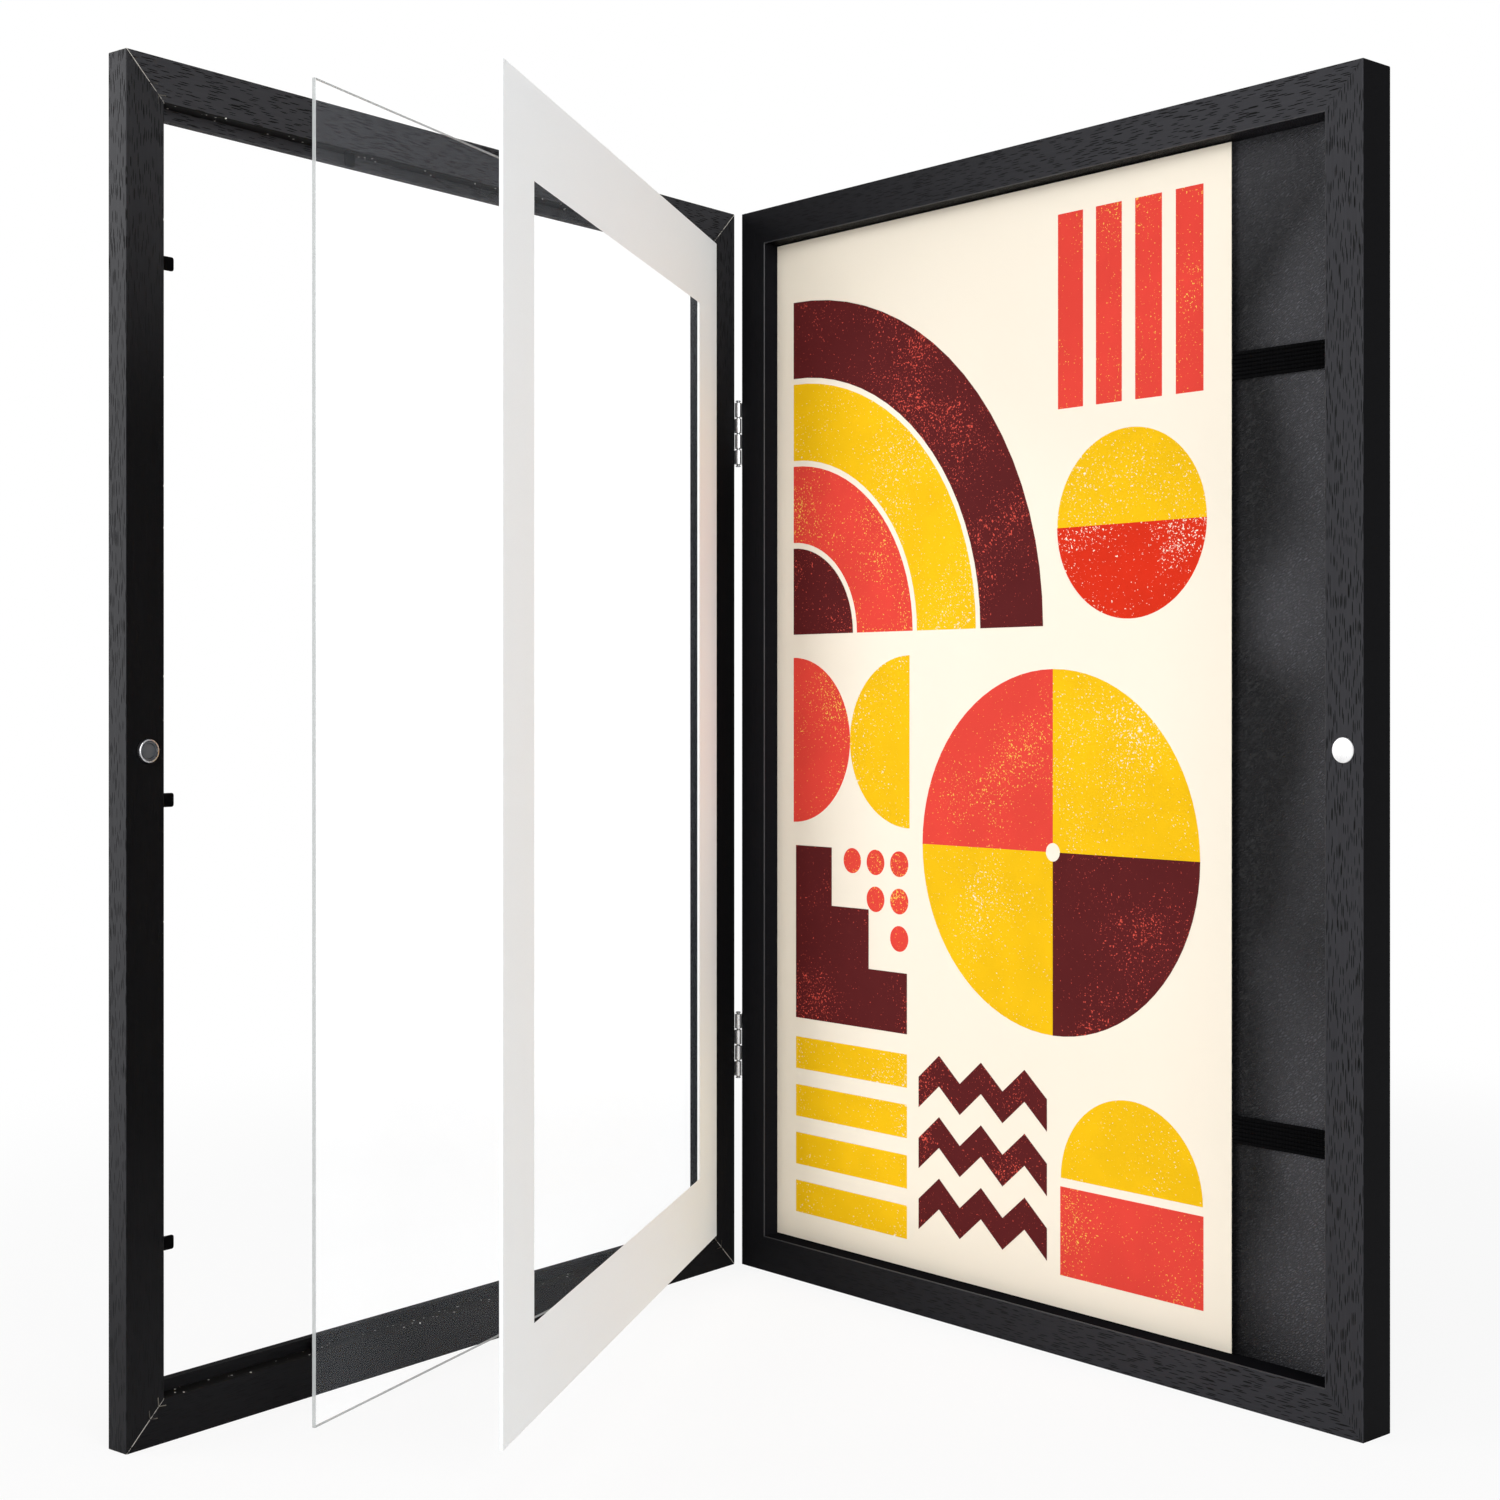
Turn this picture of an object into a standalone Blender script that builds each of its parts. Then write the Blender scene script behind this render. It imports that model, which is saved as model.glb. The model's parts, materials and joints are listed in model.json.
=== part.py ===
"""Front-opening picture frame, standing half open like a book.

A shallow box carries a padded liner, two elastic straps and a print. A rebated door hangs on
two small hinges at its left and carries a clear pane and a window mat, which fan out of the
rebate like pages as the door opens. Metres, +Z up. The origin is the middle of the back panel's
outer face, +Y points into the wall and the front looks along -Y.
"""

import math

import bmesh
import bpy
from mathutils import Vector

MM = 0.001

# Sheets that the frame is made for
SHEET_WIDTH = 304.8 * MM
SHEET_HEIGHT = 457.2 * MM
SHEET_PLAY = 1.2 * MM

# Clearances
FIT_GAP = 0.3 * MM
OVERRUN = 2.0 * MM

# Wooden members
FACE_WIDTH = 16.0 * MM
BOX_DEPTH = 18.0 * MM
DOOR_THICKNESS = 10.4 * MM
LIP_WIDTH = 4.2 * MM
LIP_THICKNESS = 4.0 * MM
ARRIS_RADIUS = 0.6 * MM
ARRIS_STEPS = 3

# Back panel and what lies in front of it
PANEL_THICKNESS = 3.0 * MM
PANEL_LEDGE = 6.0 * MM
LINER_THICKNESS = 4.6 * MM
STRAP_THICKNESS = 1.3 * MM
STRAP_WIDTH = 10.6 * MM
STRAP_FOOT = 3.4 * MM
STRAP_HEIGHT_SHARE = 0.314
PRINT_WIDTH = 258.6 * MM
PRINT_THICKNESS = 0.3 * MM
STAPLE_WIRE = 0.6 * MM
STAPLE_BITE = 1.8 * MM

# Clear pane and window mat
PANE_THICKNESS = 1.5 * MM
MAT_THICKNESS = 1.4 * MM
MAT_BORDER = 33.0 * MM
MAT_BEVEL = 1.4 * MM

# Hinges: the pin stands outside the side faces, halfway across the shut gap
DOOR_GAP = 2.2 * MM
AXIS_OUT = 1.2 * MM
BARREL_RADIUS = 1.5 * MM
PIN_RADIUS = 0.7 * MM
PIN_HEAD_RADIUS = 1.2 * MM
PIN_HEAD_THICKNESS = 0.5 * MM
HINGE_HEIGHT = 29.4 * MM
HINGE_HEIGHT_SHARE = 0.291
KNUCKLES = 4
LEAF_THICKNESS = 0.6 * MM
LEAF_LENGTH = 7.8 * MM
WEB_STEP = 0.1 * MM
HINGE_SCREW_PITCH = 16.0 * MM

# How far the door stands open at rest, and how far the sheets have fanned from it
REST_ANGLE = math.radians(79.2)
PANE_FAN = math.radians(14.0)
MAT_FAN = math.radians(26.0)
MAT_AXIS_INSET = 5.75 * MM
MAT_AXIS_DEPTH = 2.45 * MM

# Retaining tabs, pushed into the rebate's wall over the sheets
TAB_WIDTH = 4.2 * MM
TAB_THICKNESS = 0.7 * MM
TAB_REACH = 7.2 * MM
TAB_BITE = 4.5 * MM
TAB_SHARES = {
    "latch": (0.353, -0.036, -0.357),
    "hinge": (0.316, 0.0, -0.349),
    "top": (0.192,),
    "bottom": (-0.236, 0.242),
}

# Magnetic latch
LATCH_INSET = 8.4 * MM
MAGNET_RADIUS = 4.6 * MM
MAGNET_THICKNESS = 3.0 * MM
STRIKER_RADIUS = 4.2 * MM
STRIKER_RIM = 0.5 * MM
STRIKER_SHANK_RADIUS = 1.0 * MM
STRIKER_SHANK = 6.0 * MM

# Screws, nails and corner fasteners
SCREW_HEAD_RADIUS = 1.6 * MM
SCREW_RADIUS = 0.8 * MM
SCREW_LENGTH = 9.0 * MM
SCREW_HEAD_SINK = 0.2 * MM
NAIL_LEG = 3.6 * MM
NAIL_THICKNESS = 0.6 * MM
NAIL_SPLAY = math.radians(50.0)
BOX_NAIL_BITE = 9.0 * MM
DOOR_NAIL_BITE = 5.0 * MM
NAIL_PLACE_SHARE = 0.3

# Sawtooth hanger
HANGER_LENGTH = 46.0 * MM
HANGER_HEIGHT = 7.0 * MM
HANGER_THICKNESS = 0.8 * MM
HANGER_RISE = 1.2 * MM
HANGER_FOOT = 7.0 * MM
HANGER_RAMP = 1.5 * MM
HANGER_TEETH = 12
TOOTH_DEPTH = 1.4 * MM
HANGER_NAIL_RADIUS = 0.6 * MM
HANGER_NAIL_HEAD_RADIUS = 1.5 * MM
HANGER_NAIL_HEAD = 0.6 * MM
HANGER_NAIL_LENGTH = 8.0 * MM

# Facets round a large and a small round piece
ROUND_STEPS = 32
SMALL_STEPS = 16

# Derived sizes
OPENING_WIDTH = SHEET_WIDTH + SHEET_PLAY
OPENING_HEIGHT = SHEET_HEIGHT + SHEET_PLAY
WIDTH = OPENING_WIDTH + 2 * FACE_WIDTH
HEIGHT = OPENING_HEIGHT + 2 * FACE_WIDTH
REBATE_DEPTH = DOOR_THICKNESS - LIP_THICKNESS
SHEET_EDGE = FACE_WIDTH + SHEET_PLAY / 2
PANE_BACK = REBATE_DEPTH - FIT_GAP - PANE_THICKNESS
MAT_BACK = PANE_BACK - FIT_GAP - MAT_THICKNESS
TAB_BACK = MAT_BACK - FIT_GAP - TAB_THICKNESS
PANEL_FRONT = BOX_DEPTH - PANEL_THICKNESS
LINER_BACK = PANEL_FRONT - FIT_GAP
LINER_FRONT = LINER_BACK - LINER_THICKNESS
STRAP_FRONT = LINER_FRONT - FIT_GAP - STRAP_THICKNESS
PRINT_FRONT = STRAP_FRONT - FIT_GAP - PRINT_THICKNESS
STRAP_HEIGHT = STRAP_HEIGHT_SHARE * OPENING_HEIGHT
HINGE_Z = HINGE_HEIGHT_SHARE * HEIGHT
LEAF_START = BARREL_RADIUS + FIT_GAP - DOOR_GAP / 2
LEAF_SCREW_DEPTH = LEAF_START + LEAF_LENGTH / 2

SIDES = ("hinge", "latch", "top", "bottom")
STILES = ("hinge", "latch")
CORNERS = {"upper_hinge": (-1, 1), "upper_latch": (1, 1), "lower_hinge": (-1, -1), "lower_latch": (1, -1)}
HINGES = {"upper": 1, "lower": -1}


def clear_scene():
    for thing in list(bpy.data.objects):
        bpy.data.objects.remove(thing, do_unlink=True)


def material(name, colour, roughness, metallic=0.0):
    """A plain Principled material."""
    made = bpy.data.materials.new(name)
    made.use_nodes = True
    shader = made.node_tree.nodes["Principled BSDF"]
    shader.inputs["Base Color"].default_value = (*colour, 1.0)
    shader.inputs["Roughness"].default_value = roughness
    shader.inputs["Metallic"].default_value = metallic
    made.diffuse_color = (*colour, 1.0)
    return made


def empty(name, location, turn, parent=None):
    """An empty on a joint's axis, turned about Z."""
    made = bpy.data.objects.new(name, None)
    bpy.context.collection.objects.link(made)
    made.parent = parent
    made.location = location
    made.rotation_euler = (0.0, 0.0, turn)
    return made


def mesh_object(name, shape, parent=None):
    bmesh.ops.recalc_face_normals(shape, faces=shape.faces)
    mesh = bpy.data.meshes.new(name)
    shape.to_mesh(mesh)
    shape.free()
    made = bpy.data.objects.new(name, mesh)
    bpy.context.collection.objects.link(made)
    made.parent = parent
    return made


def piece(name, shape, finish, parent=None, smooth=False):
    """A named sub-part with its own copy of a finish."""
    made = mesh_object(name, shape, parent)
    own = finish.copy()
    own.name = name
    made.data.materials.append(own)
    if smooth:
        made.data.shade_smooth()
        made.data.set_sharp_from_angle(angle=math.radians(35.0))
    return made


def change(target, operation, shape, label):
    """Cuts a shape from a piece, or joins it on, with an exact Boolean."""
    tool = mesh_object(f"{target.name}_{label}", shape, target.parent)
    tool.location = target.location
    tool.hide_render = True
    tool.display_type = "WIRE"
    modifier = target.modifiers.new(label, "BOOLEAN")
    modifier.operation = operation
    modifier.solver = "EXACT"
    modifier.object = tool


def bridge(shape, loops, closed=False):
    """Joins a row of matching loops with quads, and caps the two ends unless the row is closed."""
    rings = [[shape.verts.new(point) for point in loop] for loop in loops]
    count = len(rings[0])
    pairs = list(zip(rings, rings[1:]))
    if closed:
        pairs.append((rings[-1], rings[0]))
    else:
        shape.faces.new(rings[0])
        shape.faces.new(rings[-1])
    for first, second in pairs:
        for i in range(count):
            j = (i + 1) % count
            shape.faces.new((first[i], first[j], second[j], second[i]))


def block(shape, at, low, high):
    """A box between two corners of a local frame that at() carries into the model."""
    outline = [(low[0], low[2]), (high[0], low[2]), (high[0], high[2]), (low[0], high[2])]
    extrude(shape, at, outline, low[1], high[1])


def extrude(shape, at, outline, start, end):
    """An outline in x and z, extruded in depth."""
    bridge(shape, [[at(x, depth, z) for x, z in outline] for depth in (start, end)])


def turned(shape, origin, axis, profile, steps):
    """A solid of revolution from (distance along the axis, radius) points with no zero radius."""
    axis = Vector(axis).normalized()
    across = axis.orthogonal().normalized()
    beside = axis.cross(across)
    loops = []
    for along, radius in profile:
        ring = []
        for i in range(steps):
            angle = 2 * math.pi * i / steps
            offset = across * math.cos(angle) + beside * math.sin(angle)
            ring.append(Vector(origin) + axis * along + offset * radius)
        loops.append(ring)
    bridge(shape, loops)


def rod(shape, origin, axis, start, end, radius, steps=SMALL_STEPS):
    turned(shape, origin, axis, [(start, radius), (end, radius)], steps)


def rounded(corners, radius, steps):
    """A closed outline whose corners marked True are rounded."""
    outline = []
    count = len(corners)
    for i, (x, y, soft) in enumerate(corners):
        here = Vector((x, y))
        if not soft:
            outline.append((x, y))
            continue
        before = (Vector(corners[i - 1][:2]) - here).normalized()
        after = (Vector(corners[(i + 1) % count][:2]) - here).normalized()
        centre = here + (before + after) * radius
        for k in range(steps + 1):
            turn = math.pi / 2 * k / steps
            outline.append(tuple(centre - after * radius * math.cos(turn) - before * radius * math.sin(turn)))
    return outline


def box_at(x, depth, z):
    """A point of the box, x from its hinge-side edge and depth from its front face."""
    return Vector((x - WIDTH / 2, depth - BOX_DEPTH, z))


def door_at(x, depth, z):
    """A point of the shut door from its hinge axis, x from its hinge-side edge, depth from its back face."""
    return Vector((x + AXIS_OUT, -DOOR_GAP / 2 - depth, z))


def member_point(side, inset, along):
    """(x, z) of a place on a member, inset from its outer edge and along from its middle."""
    if side == "hinge":
        return inset, along
    if side == "latch":
        return WIDTH - inset, along
    if side == "top":
        return WIDTH / 2 + along, HEIGHT / 2 - inset
    return WIDTH / 2 + along, inset - HEIGHT / 2


def half_length(side):
    return HEIGHT / 2 if side in STILES else WIDTH / 2


def inward(side):
    """The direction, in x and z, from a member's outer edge to its inner one."""
    x, z = member_point(side, 1.0, 0.0)
    x0, z0 = member_point(side, 0.0, 0.0)
    return Vector((x - x0, z - z0))


def mitred_member(side, at, profile):
    """A moulding of one profile, cut to 45 degrees at both ends."""
    shape = bmesh.new()
    loops = []
    for end in (-1, 1):
        loop = []
        for inset, depth in profile:
            reach = half_length(side) - inset - FIT_GAP / math.sqrt(2)
            x, z = member_point(side, inset, end * reach)
            loop.append(at(x, depth, z))
        loops.append(loop)
    bridge(shape, loops)
    return shape


def chevron(apex, heading, leg, thickness):
    """The outline of a V-shaped corner nail, its point on the mitre and its legs to either side."""
    heading = heading.normalized()
    nose = heading * (thickness / 2 / math.sin(NAIL_SPLAY))
    ends = []
    for turn in (1, -1):
        angle = turn * NAIL_SPLAY
        way = Vector(
            (
                heading.x * math.cos(angle) - heading.y * math.sin(angle),
                heading.x * math.sin(angle) + heading.y * math.cos(angle),
            )
        )
        side = Vector((-way.y, way.x)) * (turn * thickness / 2)
        ends.append((apex + way * leg + side, apex + way * leg - side))
    return [apex - nose, ends[0][0], ends[0][1], apex + nose, ends[1][1], ends[1][0]]


def corner_nail(shape, at, corner, start, end, grow=0.0):
    """The nail across the mitre at one corner, or its slot where grow is set."""
    turn, level = CORNERS[corner]
    inset = NAIL_PLACE_SHARE * FACE_WIDTH
    apex = Vector((WIDTH / 2 + turn * (WIDTH / 2 - inset), level * (HEIGHT / 2 - inset)))
    outline = chevron(apex, Vector((turn, level)), NAIL_LEG + grow, NAIL_THICKNESS + 2 * grow)
    extrude(shape, at, outline, start, end)


def tab_block(shape, side, share, reach, bite, grow=0.0):
    """One retaining tab of a door member, or its slot where grow is set."""
    middle = share * 2 * half_length(side)
    corners = []
    for inset, along in (
        (FACE_WIDTH - bite, middle - TAB_WIDTH / 2 - grow),
        (FACE_WIDTH + reach, middle + TAB_WIDTH / 2 + grow),
    ):
        corners.append(member_point(side, inset, along))
    low = (min(c[0] for c in corners), TAB_BACK - grow, min(c[1] for c in corners))
    high = (max(c[0] for c in corners), TAB_BACK + TAB_THICKNESS + grow, max(c[1] for c in corners))
    block(shape, door_at, low, high)


def hinge_screw_places():
    """Heights of the screws of both hinges."""
    places = []
    for level in HINGES.values():
        for turn in (1, -1):
            places.append(level * HINGE_Z + turn * HINGE_SCREW_PITCH / 2)
    return places


def panel_screw_place(side):
    """Where the screw at the middle of one side of the back panel goes, in x and z."""
    return member_point(side, FACE_WIDTH - PANEL_LEDGE / 2, 0.0)


def hanger_nail_places():
    """Where the hanger's nails go, in x and z."""
    middle = (FACE_WIDTH - PANEL_LEDGE) / 2
    reach = (HANGER_LENGTH - HANGER_FOOT) / 2
    return [member_point("top", middle, turn * reach) for turn in (-1, 1)]


def build_box_members(wood):
    profile = rounded(
        [
            (0.0, 0.0, True),
            (FACE_WIDTH, 0.0, True),
            (FACE_WIDTH, LINER_BACK, False),
            (FACE_WIDTH - PANEL_LEDGE, LINER_BACK, False),
            (FACE_WIDTH - PANEL_LEDGE, BOX_DEPTH, False),
            (0.0, BOX_DEPTH, True),
        ],
        ARRIS_RADIUS,
        ARRIS_STEPS,
    )
    for side in SIDES:
        kind = "stile" if side in STILES else "rail"
        member = piece(f"box_{kind}_{side}", mitred_member(side, box_at, profile), wood)
        cuts = bmesh.new()
        for corner in CORNERS:
            corner_nail(cuts, box_at, corner, BOX_DEPTH - BOX_NAIL_BITE - FIT_GAP, BOX_DEPTH + OVERRUN, FIT_GAP)
        x, z = panel_screw_place(side)
        rod(cuts, box_at(x, BOX_DEPTH, z), (0, -1, 0), -OVERRUN, SCREW_LENGTH + 2 * FIT_GAP, SCREW_RADIUS + FIT_GAP)
        if side == "top":
            for x, z in hanger_nail_places():
                rod(
                    cuts, box_at(x, BOX_DEPTH, z), (0, -1, 0), -OVERRUN, HANGER_NAIL_LENGTH + FIT_GAP,
                    HANGER_NAIL_RADIUS + FIT_GAP,
                )
        if side == "hinge":
            for z in hinge_screw_places():
                rod(
                    cuts, box_at(0.0, LEAF_SCREW_DEPTH, z), (1, 0, 0), -OVERRUN, SCREW_LENGTH + FIT_GAP,
                    SCREW_RADIUS + FIT_GAP,
                )
        if side == "latch":
            rod(
                cuts, box_at(WIDTH - LATCH_INSET, 0.0, 0.0), (0, 1, 0), -OVERRUN, MAGNET_THICKNESS + FIT_GAP,
                MAGNET_RADIUS + FIT_GAP, ROUND_STEPS,
            )
        change(member, "DIFFERENCE", cuts, "holes")


def build_box_fittings(steel, magnet):
    for corner in CORNERS:
        nail = bmesh.new()
        corner_nail(nail, box_at, corner, BOX_DEPTH - BOX_NAIL_BITE, BOX_DEPTH - FIT_GAP)
        piece(f"box_nail_{corner}", nail, steel)

    for side in SIDES:
        x, z = panel_screw_place(side)
        screw = bmesh.new()
        countersunk(screw, box_at(x, BOX_DEPTH - SCREW_HEAD_SINK, z), (0, -1, 0), PANEL_THICKNESS / 2)
        piece(f"panel_screw_{side}", screw, steel, smooth=True)

    disc = bmesh.new()
    turned(
        disc,
        box_at(WIDTH - LATCH_INSET, 0.0, 0.0),
        (0, 1, 0),
        [
            (0.0, MAGNET_RADIUS - FIT_GAP),
            (FIT_GAP, MAGNET_RADIUS),
            (MAGNET_THICKNESS, MAGNET_RADIUS),
        ],
        ROUND_STEPS,
    )
    piece("latch_magnet", disc, magnet, smooth=True)


def countersunk(shape, origin, axis, head):
    """A flat-headed screw whose head starts at the origin and tapers to its shank over the head's depth."""
    turned(
        shape,
        origin,
        axis,
        [(0.0, SCREW_HEAD_RADIUS), (head, SCREW_RADIUS), (SCREW_LENGTH, SCREW_RADIUS)],
        SMALL_STEPS,
    )


def strap_notch(side):
    """The liner's notch at one end of a strap: (wall edge, notch edge, half height)."""
    depth = STRAP_THICKNESS + STRAP_FOOT + 2 * FIT_GAP
    wall = FACE_WIDTH + FIT_GAP
    if side == "latch":
        wall = WIDTH - wall
        depth = -depth
    return wall, wall + depth, STRAP_WIDTH / 2 + 3 * FIT_GAP + STAPLE_WIRE


def build_back(board, liner_finish, steel):
    edge = FACE_WIDTH - PANEL_LEDGE + FIT_GAP
    panel_shape = bmesh.new()
    half = HEIGHT / 2 - edge
    block(panel_shape, box_at, (edge, PANEL_FRONT, -half), (WIDTH - edge, BOX_DEPTH, half))
    panel = piece("back_panel", panel_shape, board)
    cuts = bmesh.new()
    for side in SIDES:
        x, z = panel_screw_place(side)
        turned(
            cuts,
            box_at(x, BOX_DEPTH, z),
            (0, -1, 0),
            [
                (-OVERRUN, SCREW_HEAD_RADIUS + FIT_GAP),
                (SCREW_HEAD_SINK + FIT_GAP, SCREW_HEAD_RADIUS + FIT_GAP),
                (PANEL_THICKNESS / 2 + SCREW_HEAD_SINK + FIT_GAP, SCREW_RADIUS + FIT_GAP),
                (PANEL_THICKNESS + OVERRUN, SCREW_RADIUS + FIT_GAP),
            ],
            SMALL_STEPS,
        )
    for x, z in staple_legs():
        grow = STAPLE_WIRE / 2 + FIT_GAP
        block(
            cuts,
            box_at,
            (x - grow, PANEL_FRONT - OVERRUN, z - grow),
            (x + grow, PANEL_FRONT + STAPLE_BITE + FIT_GAP, z + grow),
        )
    change(panel, "DIFFERENCE", cuts, "holes")

    liner = bmesh.new()
    top = OPENING_HEIGHT / 2 - FIT_GAP
    outline = [(WIDTH - FACE_WIDTH - FIT_GAP, -top), (WIDTH - FACE_WIDTH - FIT_GAP, top)]
    outline[1:1] = notch_points("latch", (-1, 1))
    outline += [(FACE_WIDTH + FIT_GAP, top), *notch_points("hinge", (1, -1)), (FACE_WIDTH + FIT_GAP, -top)]
    extrude(liner, box_at, outline, LINER_FRONT, LINER_BACK)
    piece("liner", liner, liner_finish)

    for label, level in HINGES.items():
        for side in STILES:
            wire = bmesh.new()
            staple(wire, side, level)
            piece(f"strap_staple_{label}_{side}", wire, steel)


def notch_points(side, turns):
    """The corners of both notches on one edge of the liner, in the order of turns."""
    wall, inner, half = strap_notch(side)
    points = []
    for turn in turns:
        first = turn * STRAP_HEIGHT + turns[0] * half
        last = turn * STRAP_HEIGHT - turns[0] * half
        points += [(wall, first), (inner, first), (inner, last), (wall, last)]
    return points


def strap_end(side):
    """Where a strap's end lies in x: (against the wall, tip of the foot turned in under the strap)."""
    wall, _, _ = strap_notch(side)
    way = 1 if side == "hinge" else -1
    return wall + way * FIT_GAP, wall + way * (FIT_GAP + STRAP_THICKNESS + STRAP_FOOT)


def staple_x(side):
    """The middle of the foot that a staple holds."""
    _, tip = strap_end(side)
    way = 1 if side == "hinge" else -1
    return tip - way * STRAP_FOOT / 2


def staple_legs():
    """(x, z) of each staple leg."""
    legs = []
    for level in HINGES.values():
        for side in STILES:
            for turn in (1, -1):
                z = level * STRAP_HEIGHT + turn * (STRAP_WIDTH / 2 + FIT_GAP + STAPLE_WIRE / 2)
                legs.append((staple_x(side), z))
    return legs


def staple(shape, side, level):
    """A U-shaped staple across a strap's foot."""
    x = staple_x(side)
    inner = STRAP_WIDTH / 2 + FIT_GAP
    outer = inner + STAPLE_WIRE
    crown = LINER_BACK - STRAP_THICKNESS - FIT_GAP
    tip = PANEL_FRONT + STAPLE_BITE
    middle = level * STRAP_HEIGHT
    outline = [
        (-outer, tip),
        (-outer, crown - STAPLE_WIRE),
        (outer, crown - STAPLE_WIRE),
        (outer, tip),
        (inner, tip),
        (inner, crown),
        (-inner, crown),
        (-inner, tip),
    ]
    loops = []
    for turn in (-1, 1):
        loops.append([box_at(x + turn * STAPLE_WIRE / 2, depth, middle + z) for z, depth in outline])
    bridge(shape, loops)


def build_straps(elastic):
    """Flat bands across the liner, each end turned in under the band and stapled down."""
    left, left_tip = strap_end("hinge")
    right, right_tip = strap_end("latch")
    back = STRAP_FRONT + STRAP_THICKNESS
    foot = LINER_BACK - STRAP_THICKNESS
    outline = [
        (left, STRAP_FRONT),
        (right, STRAP_FRONT),
        (right, LINER_BACK),
        (right_tip, LINER_BACK),
        (right_tip, foot),
        (right - STRAP_THICKNESS, foot),
        (right - STRAP_THICKNESS, back),
        (left + STRAP_THICKNESS, back),
        (left + STRAP_THICKNESS, foot),
        (left_tip, foot),
        (left_tip, LINER_BACK),
        (left, LINER_BACK),
    ]
    for label, level in HINGES.items():
        shape = bmesh.new()
        loops = []
        for turn in (-1, 1):
            z = level * STRAP_HEIGHT + turn * STRAP_WIDTH / 2
            loops.append([box_at(x, depth, z) for x, depth in outline])
        bridge(shape, loops)
        piece(f"strap_{label}", shape, elastic)


def build_print(paper):
    half = SHEET_HEIGHT / 2
    left = FACE_WIDTH + FIT_GAP
    centre = box_at(left + PRINT_WIDTH / 2, PRINT_FRONT + PRINT_THICKNESS / 2, 0.0)
    shape = bmesh.new()
    reach = Vector((PRINT_WIDTH / 2, PRINT_THICKNESS / 2, half))
    block(shape, lambda x, y, z: Vector((x, y, z)), -reach, reach)
    sheet = piece("art_print", shape, paper)
    sheet.location = centre


def build_hanger(steel):
    """A sawtooth hanger on the top rail, nailed at both of its feet."""
    middle = (FACE_WIDTH - PANEL_LEDGE) / 2
    flat = HANGER_LENGTH / 2 - HANGER_FOOT
    columns = [(-HANGER_LENGTH / 2, 0.0, 0.0), (-flat - HANGER_RAMP, 0.0, 0.0)]
    for i in range(2 * HANGER_TEETH + 1):
        columns.append((flat * (i / HANGER_TEETH - 1), HANGER_RISE, TOOTH_DEPTH * (i % 2)))
    columns += [(flat + HANGER_RAMP, 0.0, 0.0), (HANGER_LENGTH / 2, 0.0, 0.0)]
    shape = bmesh.new()
    loops = []
    for along, rise, tooth in columns:
        start = BOX_DEPTH + FIT_GAP + rise
        outer = middle - HANGER_HEIGHT / 2
        inner = middle + HANGER_HEIGHT / 2 - tooth
        loop = []
        for inset, depth in (
            (outer, start),
            (inner, start),
            (inner, start + HANGER_THICKNESS),
            (outer, start + HANGER_THICKNESS),
        ):
            x, z = member_point("top", inset, along)
            loop.append(box_at(x, depth, z))
        loops.append(loop)
    bridge(shape, loops)
    plate = piece("hanger", shape, steel)
    holes = bmesh.new()
    for i, (x, z) in enumerate(hanger_nail_places(), 1):
        rod(
            holes, box_at(x, BOX_DEPTH, z), (0, 1, 0), -OVERRUN, HANGER_RISE + HANGER_THICKNESS + OVERRUN,
            HANGER_NAIL_RADIUS + FIT_GAP,
        )
        nail = bmesh.new()
        turned(
            nail,
            box_at(x, BOX_DEPTH + 2 * FIT_GAP + HANGER_THICKNESS, z),
            (0, 1, 0),
            [
                (-HANGER_NAIL_LENGTH, HANGER_NAIL_RADIUS),
                (0.0, HANGER_NAIL_RADIUS),
                (0.0, HANGER_NAIL_HEAD_RADIUS),
                (HANGER_NAIL_HEAD, HANGER_NAIL_HEAD_RADIUS),
            ],
            SMALL_STEPS,
        )
        piece(f"hanger_nail_{i}", nail, steel, smooth=True)
    change(plate, "DIFFERENCE", holes, "holes")


def knuckle_span(index, grow=0.0):
    """Lowest and highest place of a knuckle, counted from the top of the hinge's middle."""
    pitch = HINGE_HEIGHT / KNUCKLES
    top = HINGE_HEIGHT / 2 - index * pitch
    return top - pitch + FIT_GAP / 2 - grow, top - FIT_GAP / 2 + grow


def build_leaf(name, at, own, middle, steel, parent):
    """A hinge leaf on a side face, with the knuckles that are its own."""
    axis_x = -AXIS_OUT
    axis_depth = -DOOR_GAP / 2
    outer = -FIT_GAP - LEAF_THICKNESS
    shape = bmesh.new()
    half = HINGE_HEIGHT / 2
    block(shape, at, (outer, LEAF_START, middle - half), (-FIT_GAP, LEAF_START + LEAF_LENGTH, middle + half))
    leaf = piece(name, shape, steel, parent, smooth=True)
    for index in own:
        low, high = knuckle_span(index)
        web = bmesh.new()
        block(
            web,
            at,
            (outer + WEB_STEP, axis_depth + PIN_RADIUS + FIT_GAP, middle + low + WEB_STEP),
            (-FIT_GAP - WEB_STEP, LEAF_START + WEB_STEP, middle + high - WEB_STEP),
        )
        change(leaf, "UNION", web, f"web_{index}")
        barrel = bmesh.new()
        rod(barrel, at(axis_x, axis_depth, middle), (0, 0, 1), low, high, BARREL_RADIUS, SMALL_STEPS)
        change(leaf, "UNION", barrel, f"knuckle_{index}")
    cuts = bmesh.new()
    rod(cuts, at(axis_x, axis_depth, middle), (0, 0, 1), -HINGE_HEIGHT, HINGE_HEIGHT, PIN_RADIUS + FIT_GAP)
    for turn in (1, -1):
        z = middle + turn * HINGE_SCREW_PITCH / 2
        rod(
            cuts, at(outer, LEAF_SCREW_DEPTH, z), (1, 0, 0), -OVERRUN, LEAF_THICKNESS + OVERRUN,
            SCREW_HEAD_RADIUS + FIT_GAP,
        )
    change(leaf, "DIFFERENCE", cuts, "holes")


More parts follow.
